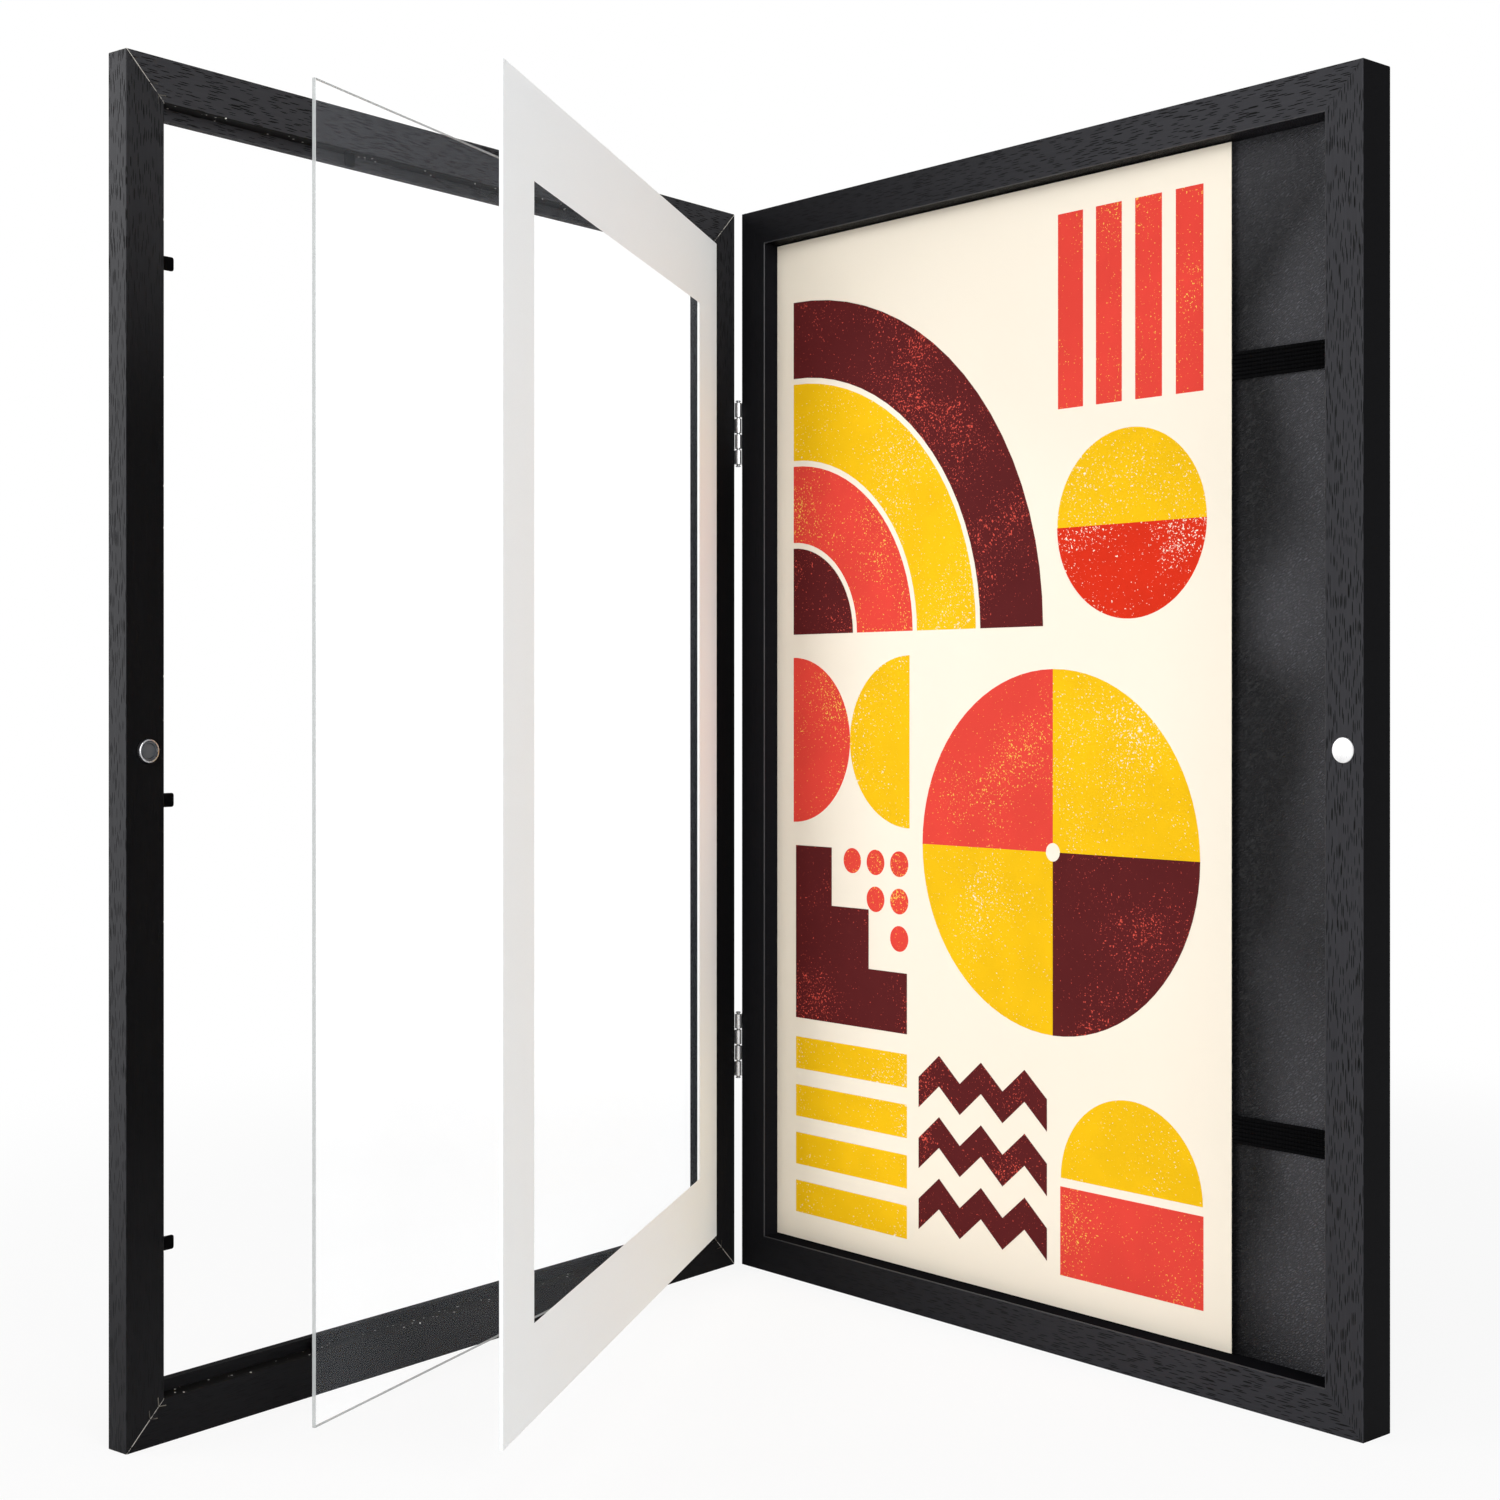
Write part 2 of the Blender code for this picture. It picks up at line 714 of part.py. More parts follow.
def build_hinges(steel, door_axis):
    own = {"box": range(0, KNUCKLES, 2), "door": range(1, KNUCKLES, 2)}
    for label, level in HINGES.items():
        middle = level * HINGE_Z
        build_leaf(f"hinge_{label}_box_leaf", box_at, own["box"], middle, steel, None)
        build_leaf(f"hinge_{label}_door_leaf", door_at, own["door"], middle, steel, door_axis)
        pin = bmesh.new()
        half = HINGE_HEIGHT / 2
        turned(
            pin,
            box_at(-AXIS_OUT, -DOOR_GAP / 2, middle),
            (0, 0, 1),
            [
                (-half - FIT_GAP - PIN_HEAD_THICKNESS, PIN_HEAD_RADIUS),
                (-half - FIT_GAP, PIN_HEAD_RADIUS),
                (-half - FIT_GAP, PIN_RADIUS),
                (half + FIT_GAP, PIN_RADIUS),
                (half + FIT_GAP, PIN_HEAD_RADIUS),
                (half + FIT_GAP + PIN_HEAD_THICKNESS, PIN_HEAD_RADIUS),
            ],
            SMALL_STEPS,
        )
        piece(f"hinge_{label}_pin", pin, steel, smooth=True)
    for body, at, parent in (("box", box_at, None), ("door", door_at, door_axis)):
        for i, z in enumerate(hinge_screw_places(), 1):
            screw = bmesh.new()
            countersunk(screw, at(-FIT_GAP - LEAF_THICKNESS, LEAF_SCREW_DEPTH, z), (1, 0, 0), LEAF_THICKNESS)
            piece(f"hinge_{body}_screw_{i}", screw, steel, parent, smooth=True)


def build_door_members(wood, door_axis):
    profile = rounded(
        [
            (0.0, 0.0, True),
            (FACE_WIDTH, 0.0, True),
            (FACE_WIDTH, REBATE_DEPTH, False),
            (FACE_WIDTH + LIP_WIDTH, REBATE_DEPTH, False),
            (FACE_WIDTH + LIP_WIDTH, DOOR_THICKNESS, True),
            (0.0, DOOR_THICKNESS, True),
        ],
        ARRIS_RADIUS,
        ARRIS_STEPS,
    )
    for side in SIDES:
        kind = "stile" if side in STILES else "rail"
        member = piece(f"door_{kind}_{side}", mitred_member(side, door_at, profile), wood, door_axis)
        cuts = bmesh.new()
        for corner in CORNERS:
            corner_nail(cuts, door_at, corner, -OVERRUN, DOOR_NAIL_BITE + FIT_GAP, FIT_GAP)
        for share in TAB_SHARES[side]:
            tab_block(cuts, side, share, OVERRUN, TAB_BITE + FIT_GAP, FIT_GAP)
        if side == "hinge":
            for z in hinge_screw_places():
                rod(
                    cuts, door_at(0.0, LEAF_SCREW_DEPTH, z), (1, 0, 0), -OVERRUN, SCREW_LENGTH + FIT_GAP,
                    SCREW_RADIUS + FIT_GAP,
                )
        if side == "latch":
            rod(
                cuts, door_at(WIDTH - LATCH_INSET, 0.0, 0.0), (0, -1, 0), -OVERRUN, STRIKER_SHANK + FIT_GAP,
                STRIKER_SHANK_RADIUS + FIT_GAP,
            )
        change(member, "DIFFERENCE", cuts, "holes")


def build_door_fittings(steel, flexible, door_axis):
    for corner in CORNERS:
        nail = bmesh.new()
        corner_nail(nail, door_at, corner, FIT_GAP, DOOR_NAIL_BITE)
        piece(f"door_nail_{corner}", nail, steel, door_axis)

    striker = bmesh.new()
    turned(
        striker,
        door_at(WIDTH - LATCH_INSET, 0.0, 0.0),
        (0, 1, 0),
        [
            (-STRIKER_SHANK, STRIKER_SHANK_RADIUS),
            (FIT_GAP, STRIKER_SHANK_RADIUS),
            (FIT_GAP, STRIKER_RADIUS),
            (DOOR_GAP - FIT_GAP - STRIKER_RIM, STRIKER_RADIUS),
            (DOOR_GAP - FIT_GAP, STRIKER_RADIUS - STRIKER_RIM),
        ],
        ROUND_STEPS,
    )
    piece("latch_striker", striker, steel, door_axis, smooth=True)

    for side in SIDES:
        for i, share in enumerate(TAB_SHARES[side], 1):
            tab = bmesh.new()
            tab_block(tab, side, share, TAB_REACH, TAB_BITE)
            piece(f"tab_{side}_{i}", tab, flexible, door_axis)


def build_pane(clear, door_axis):
    """The clear pane, turning about its own hinge-side edge under the tabs there."""
    middle = PANE_BACK + PANE_THICKNESS / 2
    axis = empty("pane_axis", door_at(SHEET_EDGE, middle, 0.0), PANE_FAN, door_axis)
    shape = bmesh.new()
    half = SHEET_HEIGHT / 2
    block(
        shape,
        lambda x, y, z: Vector((x, y, z)),
        (0.0, -PANE_THICKNESS / 2, -half),
        (SHEET_WIDTH, PANE_THICKNESS / 2, half),
    )
    piece("clear_pane", shape, clear, axis)


def build_mat(card, door_axis):
    """The window mat, whose axis carries its hinge-side edge up out of the rebate as it fans."""
    axis = empty("mat_axis", door_at(MAT_AXIS_INSET, MAT_AXIS_DEPTH, 0.0), MAT_FAN, door_axis)
    start = SHEET_EDGE - MAT_AXIS_INSET
    back = MAT_AXIS_DEPTH - MAT_BACK
    front = back - MAT_THICKNESS
    half = SHEET_HEIGHT / 2

    def ring(inset, depth):
        return [
            Vector((start + inset, depth, inset - half)),
            Vector((start + SHEET_WIDTH - inset, depth, inset - half)),
            Vector((start + SHEET_WIDTH - inset, depth, half - inset)),
            Vector((start + inset, depth, half - inset)),
        ]

    shape = bmesh.new()
    bridge(
        shape,
        [ring(0.0, back), ring(0.0, front), ring(MAT_BORDER - MAT_BEVEL, front), ring(MAT_BORDER, back)],
        closed=True,
    )
    piece("mat_board", shape, card, axis)


def main():
    clear_scene()
    wood = material("wood", (0.045, 0.045, 0.05), 0.55)
    board = material("board", (0.05, 0.05, 0.052), 0.8)
    liner = material("liner", (0.06, 0.06, 0.063), 0.65)
    elastic = material("elastic", (0.015, 0.015, 0.016), 0.8)
    flexible = material("flexible", (0.012, 0.012, 0.012), 0.5)
    steel = material("steel", (0.62, 0.62, 0.64), 0.3, 1.0)
    magnet = material("magnet", (0.85, 0.85, 0.86), 0.25, 0.6)
    paper = material("paper", (0.94, 0.86, 0.72), 0.8)
    card = material("card", (0.8, 0.79, 0.75), 0.85)
    clear = material("clear", (0.9, 0.92, 0.92), 0.05)

    door_axis = empty("door_axis", box_at(-AXIS_OUT, -DOOR_GAP / 2, 0.0), -REST_ANGLE)
    build_box_members(wood)
    build_box_fittings(steel, magnet)
    build_back(board, liner, steel)
    build_straps(elastic)
    build_print(paper)
    build_hanger(steel)
    build_hinges(steel, door_axis)
    build_door_members(wood, door_axis)
    build_door_fittings(steel, flexible, door_axis)
    build_pane(clear, door_axis)
    build_mat(card, door_axis)


main()
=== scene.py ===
"""Looks of a front-opening picture frame that stands half open like a book.

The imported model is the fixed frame. Each sub-assembly is a class that takes its overall sizes from
the frame, keeps its own small sizes as fields, and builds and dresses its pieces. Metres, +Z up.
"""

from __future__ import annotations

import json
import logging
import math
from dataclasses import dataclass, field
from enum import Enum
from typing import Any, Callable, Iterable, Sequence

import bmesh
import bpy
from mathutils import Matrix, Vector


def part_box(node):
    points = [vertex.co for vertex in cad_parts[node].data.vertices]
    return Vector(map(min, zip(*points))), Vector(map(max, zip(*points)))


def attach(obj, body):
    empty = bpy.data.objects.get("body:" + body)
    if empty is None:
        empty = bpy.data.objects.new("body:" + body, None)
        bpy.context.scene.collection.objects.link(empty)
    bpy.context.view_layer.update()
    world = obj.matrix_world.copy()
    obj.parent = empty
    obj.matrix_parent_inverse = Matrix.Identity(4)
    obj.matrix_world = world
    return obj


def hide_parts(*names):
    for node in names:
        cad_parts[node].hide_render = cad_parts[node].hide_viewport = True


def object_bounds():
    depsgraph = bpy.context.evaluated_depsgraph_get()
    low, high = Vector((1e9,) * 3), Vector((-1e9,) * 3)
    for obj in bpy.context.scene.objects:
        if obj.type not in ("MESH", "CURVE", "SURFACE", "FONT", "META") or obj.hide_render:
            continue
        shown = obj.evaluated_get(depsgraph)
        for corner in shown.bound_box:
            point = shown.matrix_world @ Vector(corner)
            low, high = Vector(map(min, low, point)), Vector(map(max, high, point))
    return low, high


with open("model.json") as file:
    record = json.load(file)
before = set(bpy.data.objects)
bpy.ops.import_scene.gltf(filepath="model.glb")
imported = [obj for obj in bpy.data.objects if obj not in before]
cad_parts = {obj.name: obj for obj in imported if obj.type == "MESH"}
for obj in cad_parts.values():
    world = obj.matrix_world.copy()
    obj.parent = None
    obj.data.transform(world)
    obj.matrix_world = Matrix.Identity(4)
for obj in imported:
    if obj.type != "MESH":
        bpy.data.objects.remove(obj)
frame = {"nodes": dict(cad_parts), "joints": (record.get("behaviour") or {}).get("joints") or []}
CAD_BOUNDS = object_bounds()

Pair = tuple[float, float]
Point = tuple[float, float]
Triple = tuple[float, float, float]
Colour = tuple[float, float, float]
Shares = tuple[float, float, float]
Socket = bpy.types.NodeSocket
Shape = bmesh.types.BMesh
Thing = bpy.types.Object

MM = 0.001
LOG = logging.getLogger("picture_frame")
UP = Vector((0.0, 0.0, 1.0))
REARWARD = Vector((0.0, 1.0, 0.0))
BLACK: Colour = (0.0, 0.0, 0.0)
WHITE: Colour = (1.0, 1.0, 1.0)
EVEN: Shares = (1.0, 1.0, 1.0)


class Side(Enum):
    """The four members of a mitred frame."""

    HINGE = "hinge"
    LATCH = "latch"
    TOP = "top"
    BOTTOM = "bottom"

    @property
    def upright(self) -> bool:
        """Whether the member stands."""
        return self in (Side.HINGE, Side.LATCH)

    @property
    def kind(self) -> str:
        """The member's name in the trade."""
        return "stile" if self.upright else "rail"

    @property
    def inward(self) -> Point:
        """The direction from the member to the opening, as (x, z)."""
        sign = 1.0 if self in (Side.HINGE, Side.BOTTOM) else -1.0
        return (sign, 0.0) if self.upright else (0.0, sign)


class Ink(Enum):
    """The print's inks, as they look on the paper."""

    YELLOW = (0.94, 0.55, 0.004)
    RED = (0.80, 0.062, 0.044)
    MAROON = (0.105, 0.012, 0.013)
    OVERPRINT = (0.72, 0.030, 0.008)


class Band(Enum):
    """The faces of a moulding, by the number of their material."""

    FACE = 0
    MITRE = 1
    SIDE = 2
    EDGE = 3
    WALL = 4
    ARRIS = 5
    FRONT = 6


@dataclass(frozen=True)
class Place:
    """A turned frame of reference in plan, carried by one body.

    x runs along the part from its hinge side, out runs square to it in plan, and z is up.
    """

    body: str
    origin: Vector
    turn: float

    def way(self, x: float, out: float, z: float) -> Vector:
        """Turns a local direction into a world one."""
        cosine, sine = math.cos(self.turn), math.sin(self.turn)
        return Vector((x * cosine - out * sine, x * sine + out * cosine, z))

    def at(self, x: float, out: float, z: float) -> Vector:
        """Gives the world position of a local point."""
        return self.origin + self.way(x, out, z)


def joint(name: str) -> dict[str, Any]:
    """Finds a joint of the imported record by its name."""
    return next(entry for entry in frame["joints"] if entry["name"] == name)


def extent(name: str) -> tuple[Vector, Vector]:
    """The low and high corners of a CAD node's box."""
    low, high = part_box(name)
    return Vector(low), Vector(high)


def nodes_named(start: str) -> list[str]:
    """The CAD nodes whose names start with the same words."""
    return [name for name in frame["nodes"] if name.startswith(start)]


@dataclass(frozen=True)
class Sizes:
    """Sizes that several sub-assemblies share, read from the frame where it shows them."""

    face: float = 16.0 * MM
    arris: float = 0.4 * MM
    door_thickness: float = 10.4 * MM
    door_gap: float = 2.2 * MM
    axis_out: float = 1.2 * MM
    joint_gap: float = 0.3 * MM
    sheet_width: float = 304.8 * MM
    sheet_height: float = 457.2 * MM

    @property
    def width(self) -> float:
        """Outside width of the box."""
        return 2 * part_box("box_stile_latch")[1][0]

    @property
    def height(self) -> float:
        """Outside height of the box."""
        return 2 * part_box("box_rail_top")[1][2]

    @property
    def depth(self) -> float:
        """Depth of the box."""
        return -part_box("box_rail_top")[0][1]

    @property
    def rest_angle(self) -> float:
        """How far the door stands open at rest."""
        return math.radians(-joint("door_hinge")["range_deg"][0])

    def box_place(self) -> Place:
        """The box, x from its hinge-side edge and out from its front face into the wall."""
        return Place("box", Vector((-self.width / 2, -self.depth, 0.0)), 0.0)

    def door_place(self) -> Place:
        """The door, x from its hinge-side edge and out from its back face towards the box."""
        axis = Place("door", Vector(joint("door_hinge")["pos_m"]), -self.rest_angle)
        return Place("door", axis.at(self.axis_out, -self.door_gap / 2, 0.0), -self.rest_angle)

    def sheet_place(self, name: str) -> Place:
        """A loose sheet, from its own axis.

        Args:
            name: what its joint's name starts with.

        Returns:
            The sheet's place at rest.
        """
        entry = joint(f"{name}_swing")
        fan = math.radians(-entry["range_deg"][0])
        return Place(entry["child"], Vector(entry["pos_m"]), fan - self.rest_angle)


SIZES = Sizes()


def as_colour(value: Any) -> Any:
    """Gives a bare colour its alpha, and leaves anything else as it is."""
    return (*value, 1.0) if isinstance(value, tuple) and len(value) == 3 else value


def dimmed(tone: Colour, share: float) -> Colour:
    """A share of a tone."""
    return tuple(part * share for part in tone)


class Nodes:
    """A short way to write a node tree."""

    def __init__(self, tree: bpy.types.NodeTree) -> None:
        """Keeps the tree and clears it."""
        self.tree = tree
        tree.nodes.clear()

    def add(self, kind: str, inputs: dict[Any, Any] | None = None, **settings: Any) -> bpy.types.Node:
        """Adds a node.

        Args:
            kind: the node's type name.
            inputs: values or sockets, keyed by the input's name or number.
            settings: the node's own settings.

        Returns:
            The new node.
        """
        node = self.tree.nodes.new(kind)
        for name, value in settings.items():
            setattr(node, name, value)
        for key, value in (inputs or {}).items():
            if isinstance(value, Socket):
                self.tree.links.new(value, node.inputs[key])
            else:
                node.inputs[key].default_value = value
        return node

    def math(self, operation: str, first: Any, second: Any = 0.0, third: Any = 0.0) -> Socket:
        """Adds a Math node and gives its result."""
        return self.add("ShaderNodeMath", {0: first, 1: second, 2: third}, operation=operation).outputs[0]

    def blend(self, factor: Socket, start: float, end: float) -> Socket:
        """Goes from one value to another as the factor goes from 0 to 1."""
        return self.math("MULTIPLY_ADD", factor, end - start, start)

    def span(self, value: Socket, low: float, high: float) -> Socket:
        """Maps low to 0 and high to 1, smoothly and clamped."""
        inputs = {"Value": value, "From Min": low, "From Max": high}
        return self.add("ShaderNodeMapRange", inputs, interpolation_type="SMOOTHSTEP").outputs["Result"]

    def mix(self, factor: Any, first: Any, second: Any) -> Socket:
        """Mixes two colours."""
        inputs = {0: factor, 6: as_colour(first), 7: as_colour(second)}
        return self.add("ShaderNodeMix", inputs, data_type="RGBA").outputs[2]

    def mottle(self, factor: Socket, tone: Colour, share: float) -> Socket:
        """Goes from a share of a tone to all of it as the factor goes from 0 to 1."""
        return self.mix(factor, dimmed(tone, share), tone)

    def split(self, vector: Socket) -> Sequence[Socket]:
        """Gives a vector's three parts."""
        return self.add("ShaderNodeSeparateXYZ", {0: vector}).outputs

    def join(self, x: Any, y: Any, z: Any) -> Socket:
        """Makes a vector of three parts."""
        return self.add("ShaderNodeCombineXYZ", {0: x, 1: y, 2: z}).outputs[0]

    def scaled(self, vector: Socket, scale: Triple) -> Socket:
        """Scales a vector, each axis by its own number."""
        return self.add("ShaderNodeMapping", {"Vector": vector, "Scale": scale}).outputs[0]

    def noise(self, vector: Socket, scale: float, detail: float = 2.0, rough: float = 0.5) -> Socket:
        """Adds a noise texture and gives its value."""
        inputs = {"Vector": vector, "Scale": scale, "Detail": detail, "Roughness": rough}
        return self.add("ShaderNodeTexNoise", inputs).outputs["Fac"]

    def cells(self, vector: Socket, scale: float, randomness: float = 1.0, **settings: Any) -> Socket:
        """Adds a cell texture and gives its distance."""
        inputs = {"Vector": vector, "Scale": scale, "Randomness": randomness}
        return self.add("ShaderNodeTexVoronoi", inputs, **settings).outputs["Distance"]

    def bump(self, height: Socket, distance: float, strength: float) -> Socket:
        """Adds a bump and gives its normal."""
        inputs = {"Height": height, "Distance": distance, "Strength": strength}
        return self.add("ShaderNodeBump", inputs).outputs["Normal"]

    def principled(self, **inputs: Any) -> Socket:
        """Adds a Principled shader, with its inputs named by words joined with underscores."""
        named = {key.replace("_", " "): as_colour(value) for key, value in inputs.items()}
        return self.add("ShaderNodeBsdfPrincipled", named).outputs["BSDF"]


@dataclass(frozen=True)
class Finish:
    """A material. Each kind overrides surface().

    In every kind, scales are per metre, levels are where a noise starts and ends, dark_share is what
    is left of the tone where it is mottled most, and relief is a bump's depth and strength.
    """

    name: str
    place: Place | None = None

    def build(self) -> bpy.types.Material:
        """Makes the material, or finds it if it is already made.

        Returns:
            The material.
        """
        known = bpy.data.materials.get(self.name)
        if known:
            return known
        material = bpy.data.materials.new(self.name)
        material.use_nodes = True
        nodes = Nodes(material.node_tree)
        spot = nodes.add("ShaderNodeTexCoord").outputs["Object"]
        if self.place:
            inputs = {"Vector": spot, "Location": self.place.origin, "Rotation": (0.0, 0.0, self.place.turn)}
            spot = nodes.add("ShaderNodeMapping", inputs, vector_type="TEXTURE").outputs[0]
        nodes.add("ShaderNodeOutputMaterial", {"Surface": self.surface(nodes, spot)})
        return material

    def surface(self, nodes: Nodes, spot: Socket) -> Socket:
        """Builds the shader.

        Args:
            nodes: the material's tree.
            spot: object coordinates in the finish's own place, in metres.

        Returns:
            The shader's output.
        """
        raise NotImplementedError


@dataclass(frozen=True)
class OpenGrainWood(Finish):
    """Black-stained wood whose open pores show as short dark dashes along the grain."""

    upright: bool = False
    tone: Colour = (0.016, 0.016, 0.018)
    pore_tone: Colour = (0.001, 0.001, 0.001)
    pore_pitch: float = 10.0 * MM
    pore_spacing: float = 0.78 * MM
    # The smallest and the largest pore, as shares of a cell
    pore_shares: Pair = (0.05, 0.42)
    pore_blur: float = 0.04
    pore_jitter: float = 0.9
    # Length along the grain, and width across it
    patch: Pair = (34.0 * MM, 5.0 * MM)
    figure: Pair = (40.0 * MM, 0.9 * MM)
    figure_levels: Pair = (0.3, 0.75)
    figure_height: float = 0.2
    dark_share: float = 0.84
    relief: Pair = (0.12 * MM, 0.6)
    roughness: float = 0.52
    pore_roughness: float = 0.77
    gloss: float = 0.16
    # Painted shade towards the hinge side, where the open door shades the box: the share of the tone left
    # there, and how far from it the tone is at full strength
    deep_share: float = 1.0
    deep_reach: float = 300.0 * MM
    # Painted light and shade by height: shares of the tone at the bottom, middle and top, and the heights
    # between which they change
    height_shares: Shares = EVEN
    even_height: float = 105.0 * MM
    end_height: float = 235.0 * MM

    def surface(self, nodes: Nodes, spot: Socket) -> Socket:
        """Stretched cells hold one pore each, of a size that patches of noise vary.

        Args:
            nodes: the material's tree.
            spot: object coordinates in the finish's own place, in metres.

        Returns:
            The shader's output.
        """
        cells = nodes.cells(self.wrapped(nodes, spot), 1.0, self.pore_jitter, voronoi_dimensions="2D")
        patches = nodes.noise(self.along(nodes, spot, *self.patch), 1.0)
        size = nodes.blend(patches, *self.pore_shares)
        pores = nodes.span(nodes.math("SUBTRACT", size, cells), 0.0, self.pore_blur)
        # Painted light and shade: this level dims the tone, the pores and the gloss towards the hinge side
        # and by height.
        level = self.rubbed_level(nodes, spot)
        mask = nodes.math("MULTIPLY", pores, level)
        figure = nodes.noise(self.along(nodes, spot, *self.figure), 1.0, detail=4.0, rough=0.6)
        tone = nodes.mottle(nodes.span(figure, *self.figure_levels), self.tone, self.dark_share)
        height = nodes.math("SUBTRACT", nodes.math("MULTIPLY", figure, self.figure_height), mask)
        return nodes.principled(
            Base_Color=nodes.mix(mask, nodes.mix(level, BLACK, tone), self.pore_tone),
            Roughness=nodes.blend(mask, self.roughness, self.pore_roughness),
            Specular_IOR_Level=nodes.math("MULTIPLY", level, self.gloss),
            Normal=nodes.bump(height, *self.relief),
        )

    def along(self, nodes: Nodes, spot: Socket, length: float, width: float) -> Socket:
        """Scales the coordinates to cells of a length and width that lie along the grain."""
        scale = (1 / width, 1 / width, 1 / length) if self.upright else (1 / length, 1 / width, 1 / width)
        return nodes.scaled(spot, scale)

    def wrapped(self, nodes: Nodes, spot: Socket) -> Socket:
        """Gives flat coordinates in pores: along the grain, and across it round the member.

        Args:
            nodes: the material's tree.
            spot: object coordinates in the finish's own place, in metres.

        Returns:
            The coordinates.
        """
        x, out, z = nodes.split(spot)
        lengthwise, across = (z, x) if self.upright else (x, z)
        round_member = nodes.math("DIVIDE", nodes.math("ADD", across, out), self.pore_spacing)
        return nodes.join(nodes.math("DIVIDE", lengthwise, self.pore_pitch), round_member, 0.0)

    def rubbed_level(self, nodes: Nodes, spot: Socket) -> Socket:
        """How much of the tone is left under painted light and shade: less at the hinge side, and by height
        as its shares say.

        Args:
            nodes: the material's tree.
            spot: object coordinates in the finish's own place, in metres.

        Returns:
            The level, 1 where the tone is at full strength.
        """
        x, _, z = nodes.split(spot)
        low, middle, high = self.height_shares
        level = nodes.blend(nodes.span(x, 0.0, self.deep_reach), self.deep_share, 1.0)
        for share, sign in ((low, -1), (high, 1)):
            if share != middle:
                change = nodes.span(z, sign * self.even_height, sign * self.end_height)
                level = nodes.math("MULTIPLY", level, nodes.blend(change, 1.0, share / middle))
        return nodes.math("MULTIPLY", level, middle)


@dataclass(frozen=True)
class SpeckledBlack(Finish):
    """Black paint on a hidden face, with a few pale specks of filler on it."""

    tone: Colour = (0.003, 0.003, 0.003)
    speck: Colour = (0.72, 0.71, 0.68)
    cell: float = 3.0 * MM
    radius: float = 0.5 * MM
    sharp_share: float = 0.6
    patch_scale: float = 40.0
    patch_level: float = 0.44

    def surface(self, nodes: Nodes, spot: Socket) -> Socket:
        """Each cell may hold one small round speck.

        Args:
            nodes: the material's tree.
            spot: object coordinates in the finish's own place, in metres.

        Returns:
            The shader's output.
        """
        radius_share = self.radius / self.cell
        cells = nodes.cells(spot, 1 / self.cell)
        specks = nodes.span(cells, radius_share, radius_share * self.sharp_share)
        patches = nodes.noise(spot, self.patch_scale, detail=1.0)
        chance = nodes.math("GREATER_THAN", patches, self.patch_level)
        colour = nodes.mix(nodes.math("MULTIPLY", specks, chance), self.tone, self.speck)
        return nodes.principled(Base_Color=colour, Roughness=0.6, Specular_IOR_Level=0.12)


@dataclass(frozen=True)
class GrainedSheet(Finish):
    """The dark lining sheet, embossed with a fine slanting leather grain."""

    tone: Colour = (0.0118, 0.0118, 0.0141)
    # The sheen is painted light: a lighter tone towards the latch side and the top
    sheen: Colour = (0.108, 0.108, 0.121)
    grain_length: float = 2.1 * MM
    grain_width: float = 0.72 * MM
    slant: float = math.radians(35.0)
    # A crease's width as a share of a cell, and how much painted shade darkens it
    crease_share: float = 0.38
    crease_shade_share: float = 0.62
    pebble_scale: float = 1200.0
    pebble_share: float = 0.35
    relief: Pair = (0.4 * MM, 0.75)
    # Where the painted sheen sets in across the sheet, how far clouds shift that, and the same near the top
    sheen_start: float = 286.0 * MM
    sheen_end: float = 334.0 * MM
    drift: float = 60.0 * MM
    drift_scale: float = 11.0
    top_share: float = 0.55
    top_start: float = 160.0 * MM
    top_end: float = 226.0 * MM
    gloss: float = 0.2

    def surface(self, nodes: Nodes, spot: Socket) -> Socket:
        """Creases between slanting cells, and a painted sheen towards the latch side and near the top, in
        broad clouds.

        Args:
            nodes: the material's tree.
            spot: object coordinates in the finish's own place, in metres.

        Returns:
            The shader's output.
        """
        turned_spot = {"Vector": spot, "Rotation": (0.0, self.slant, 0.0)}
        slanted = nodes.add("ShaderNodeMapping", turned_spot).outputs[0]
        grain = nodes.scaled(slanted, (1 / self.grain_length, 1 / self.grain_width, 1 / self.grain_width))
        crease = nodes.span(nodes.cells(grain, 1.0, feature="DISTANCE_TO_EDGE"), 0.0, self.crease_share)
        across, _, height = nodes.split(spot)
        clouds = nodes.noise(spot, self.drift_scale, detail=1.0)
        drifting = nodes.math("MULTIPLY_ADD", clouds, 2 * self.drift, across)
        latchward = nodes.span(drifting, self.sheen_start + self.drift, self.sheen_end + self.drift)
        topmost = nodes.math("MULTIPLY", nodes.span(height, self.top_start, self.top_end), self.top_share)
        # Painted sheen: the tone lightens towards the latch side and the top.
        worn = nodes.mix(nodes.math("MAXIMUM", latchward, topmost), self.tone, self.sheen)
        pebble = nodes.math("MULTIPLY", nodes.noise(spot, self.pebble_scale), self.pebble_share)
        return nodes.principled(
            Base_Color=nodes.mix(crease, nodes.mix(self.crease_shade_share, worn, BLACK), worn),
            Roughness=0.42,
            Specular_IOR_Level=self.gloss,
            Normal=nodes.bump(nodes.math("ADD", crease, pebble), *self.relief),
        )


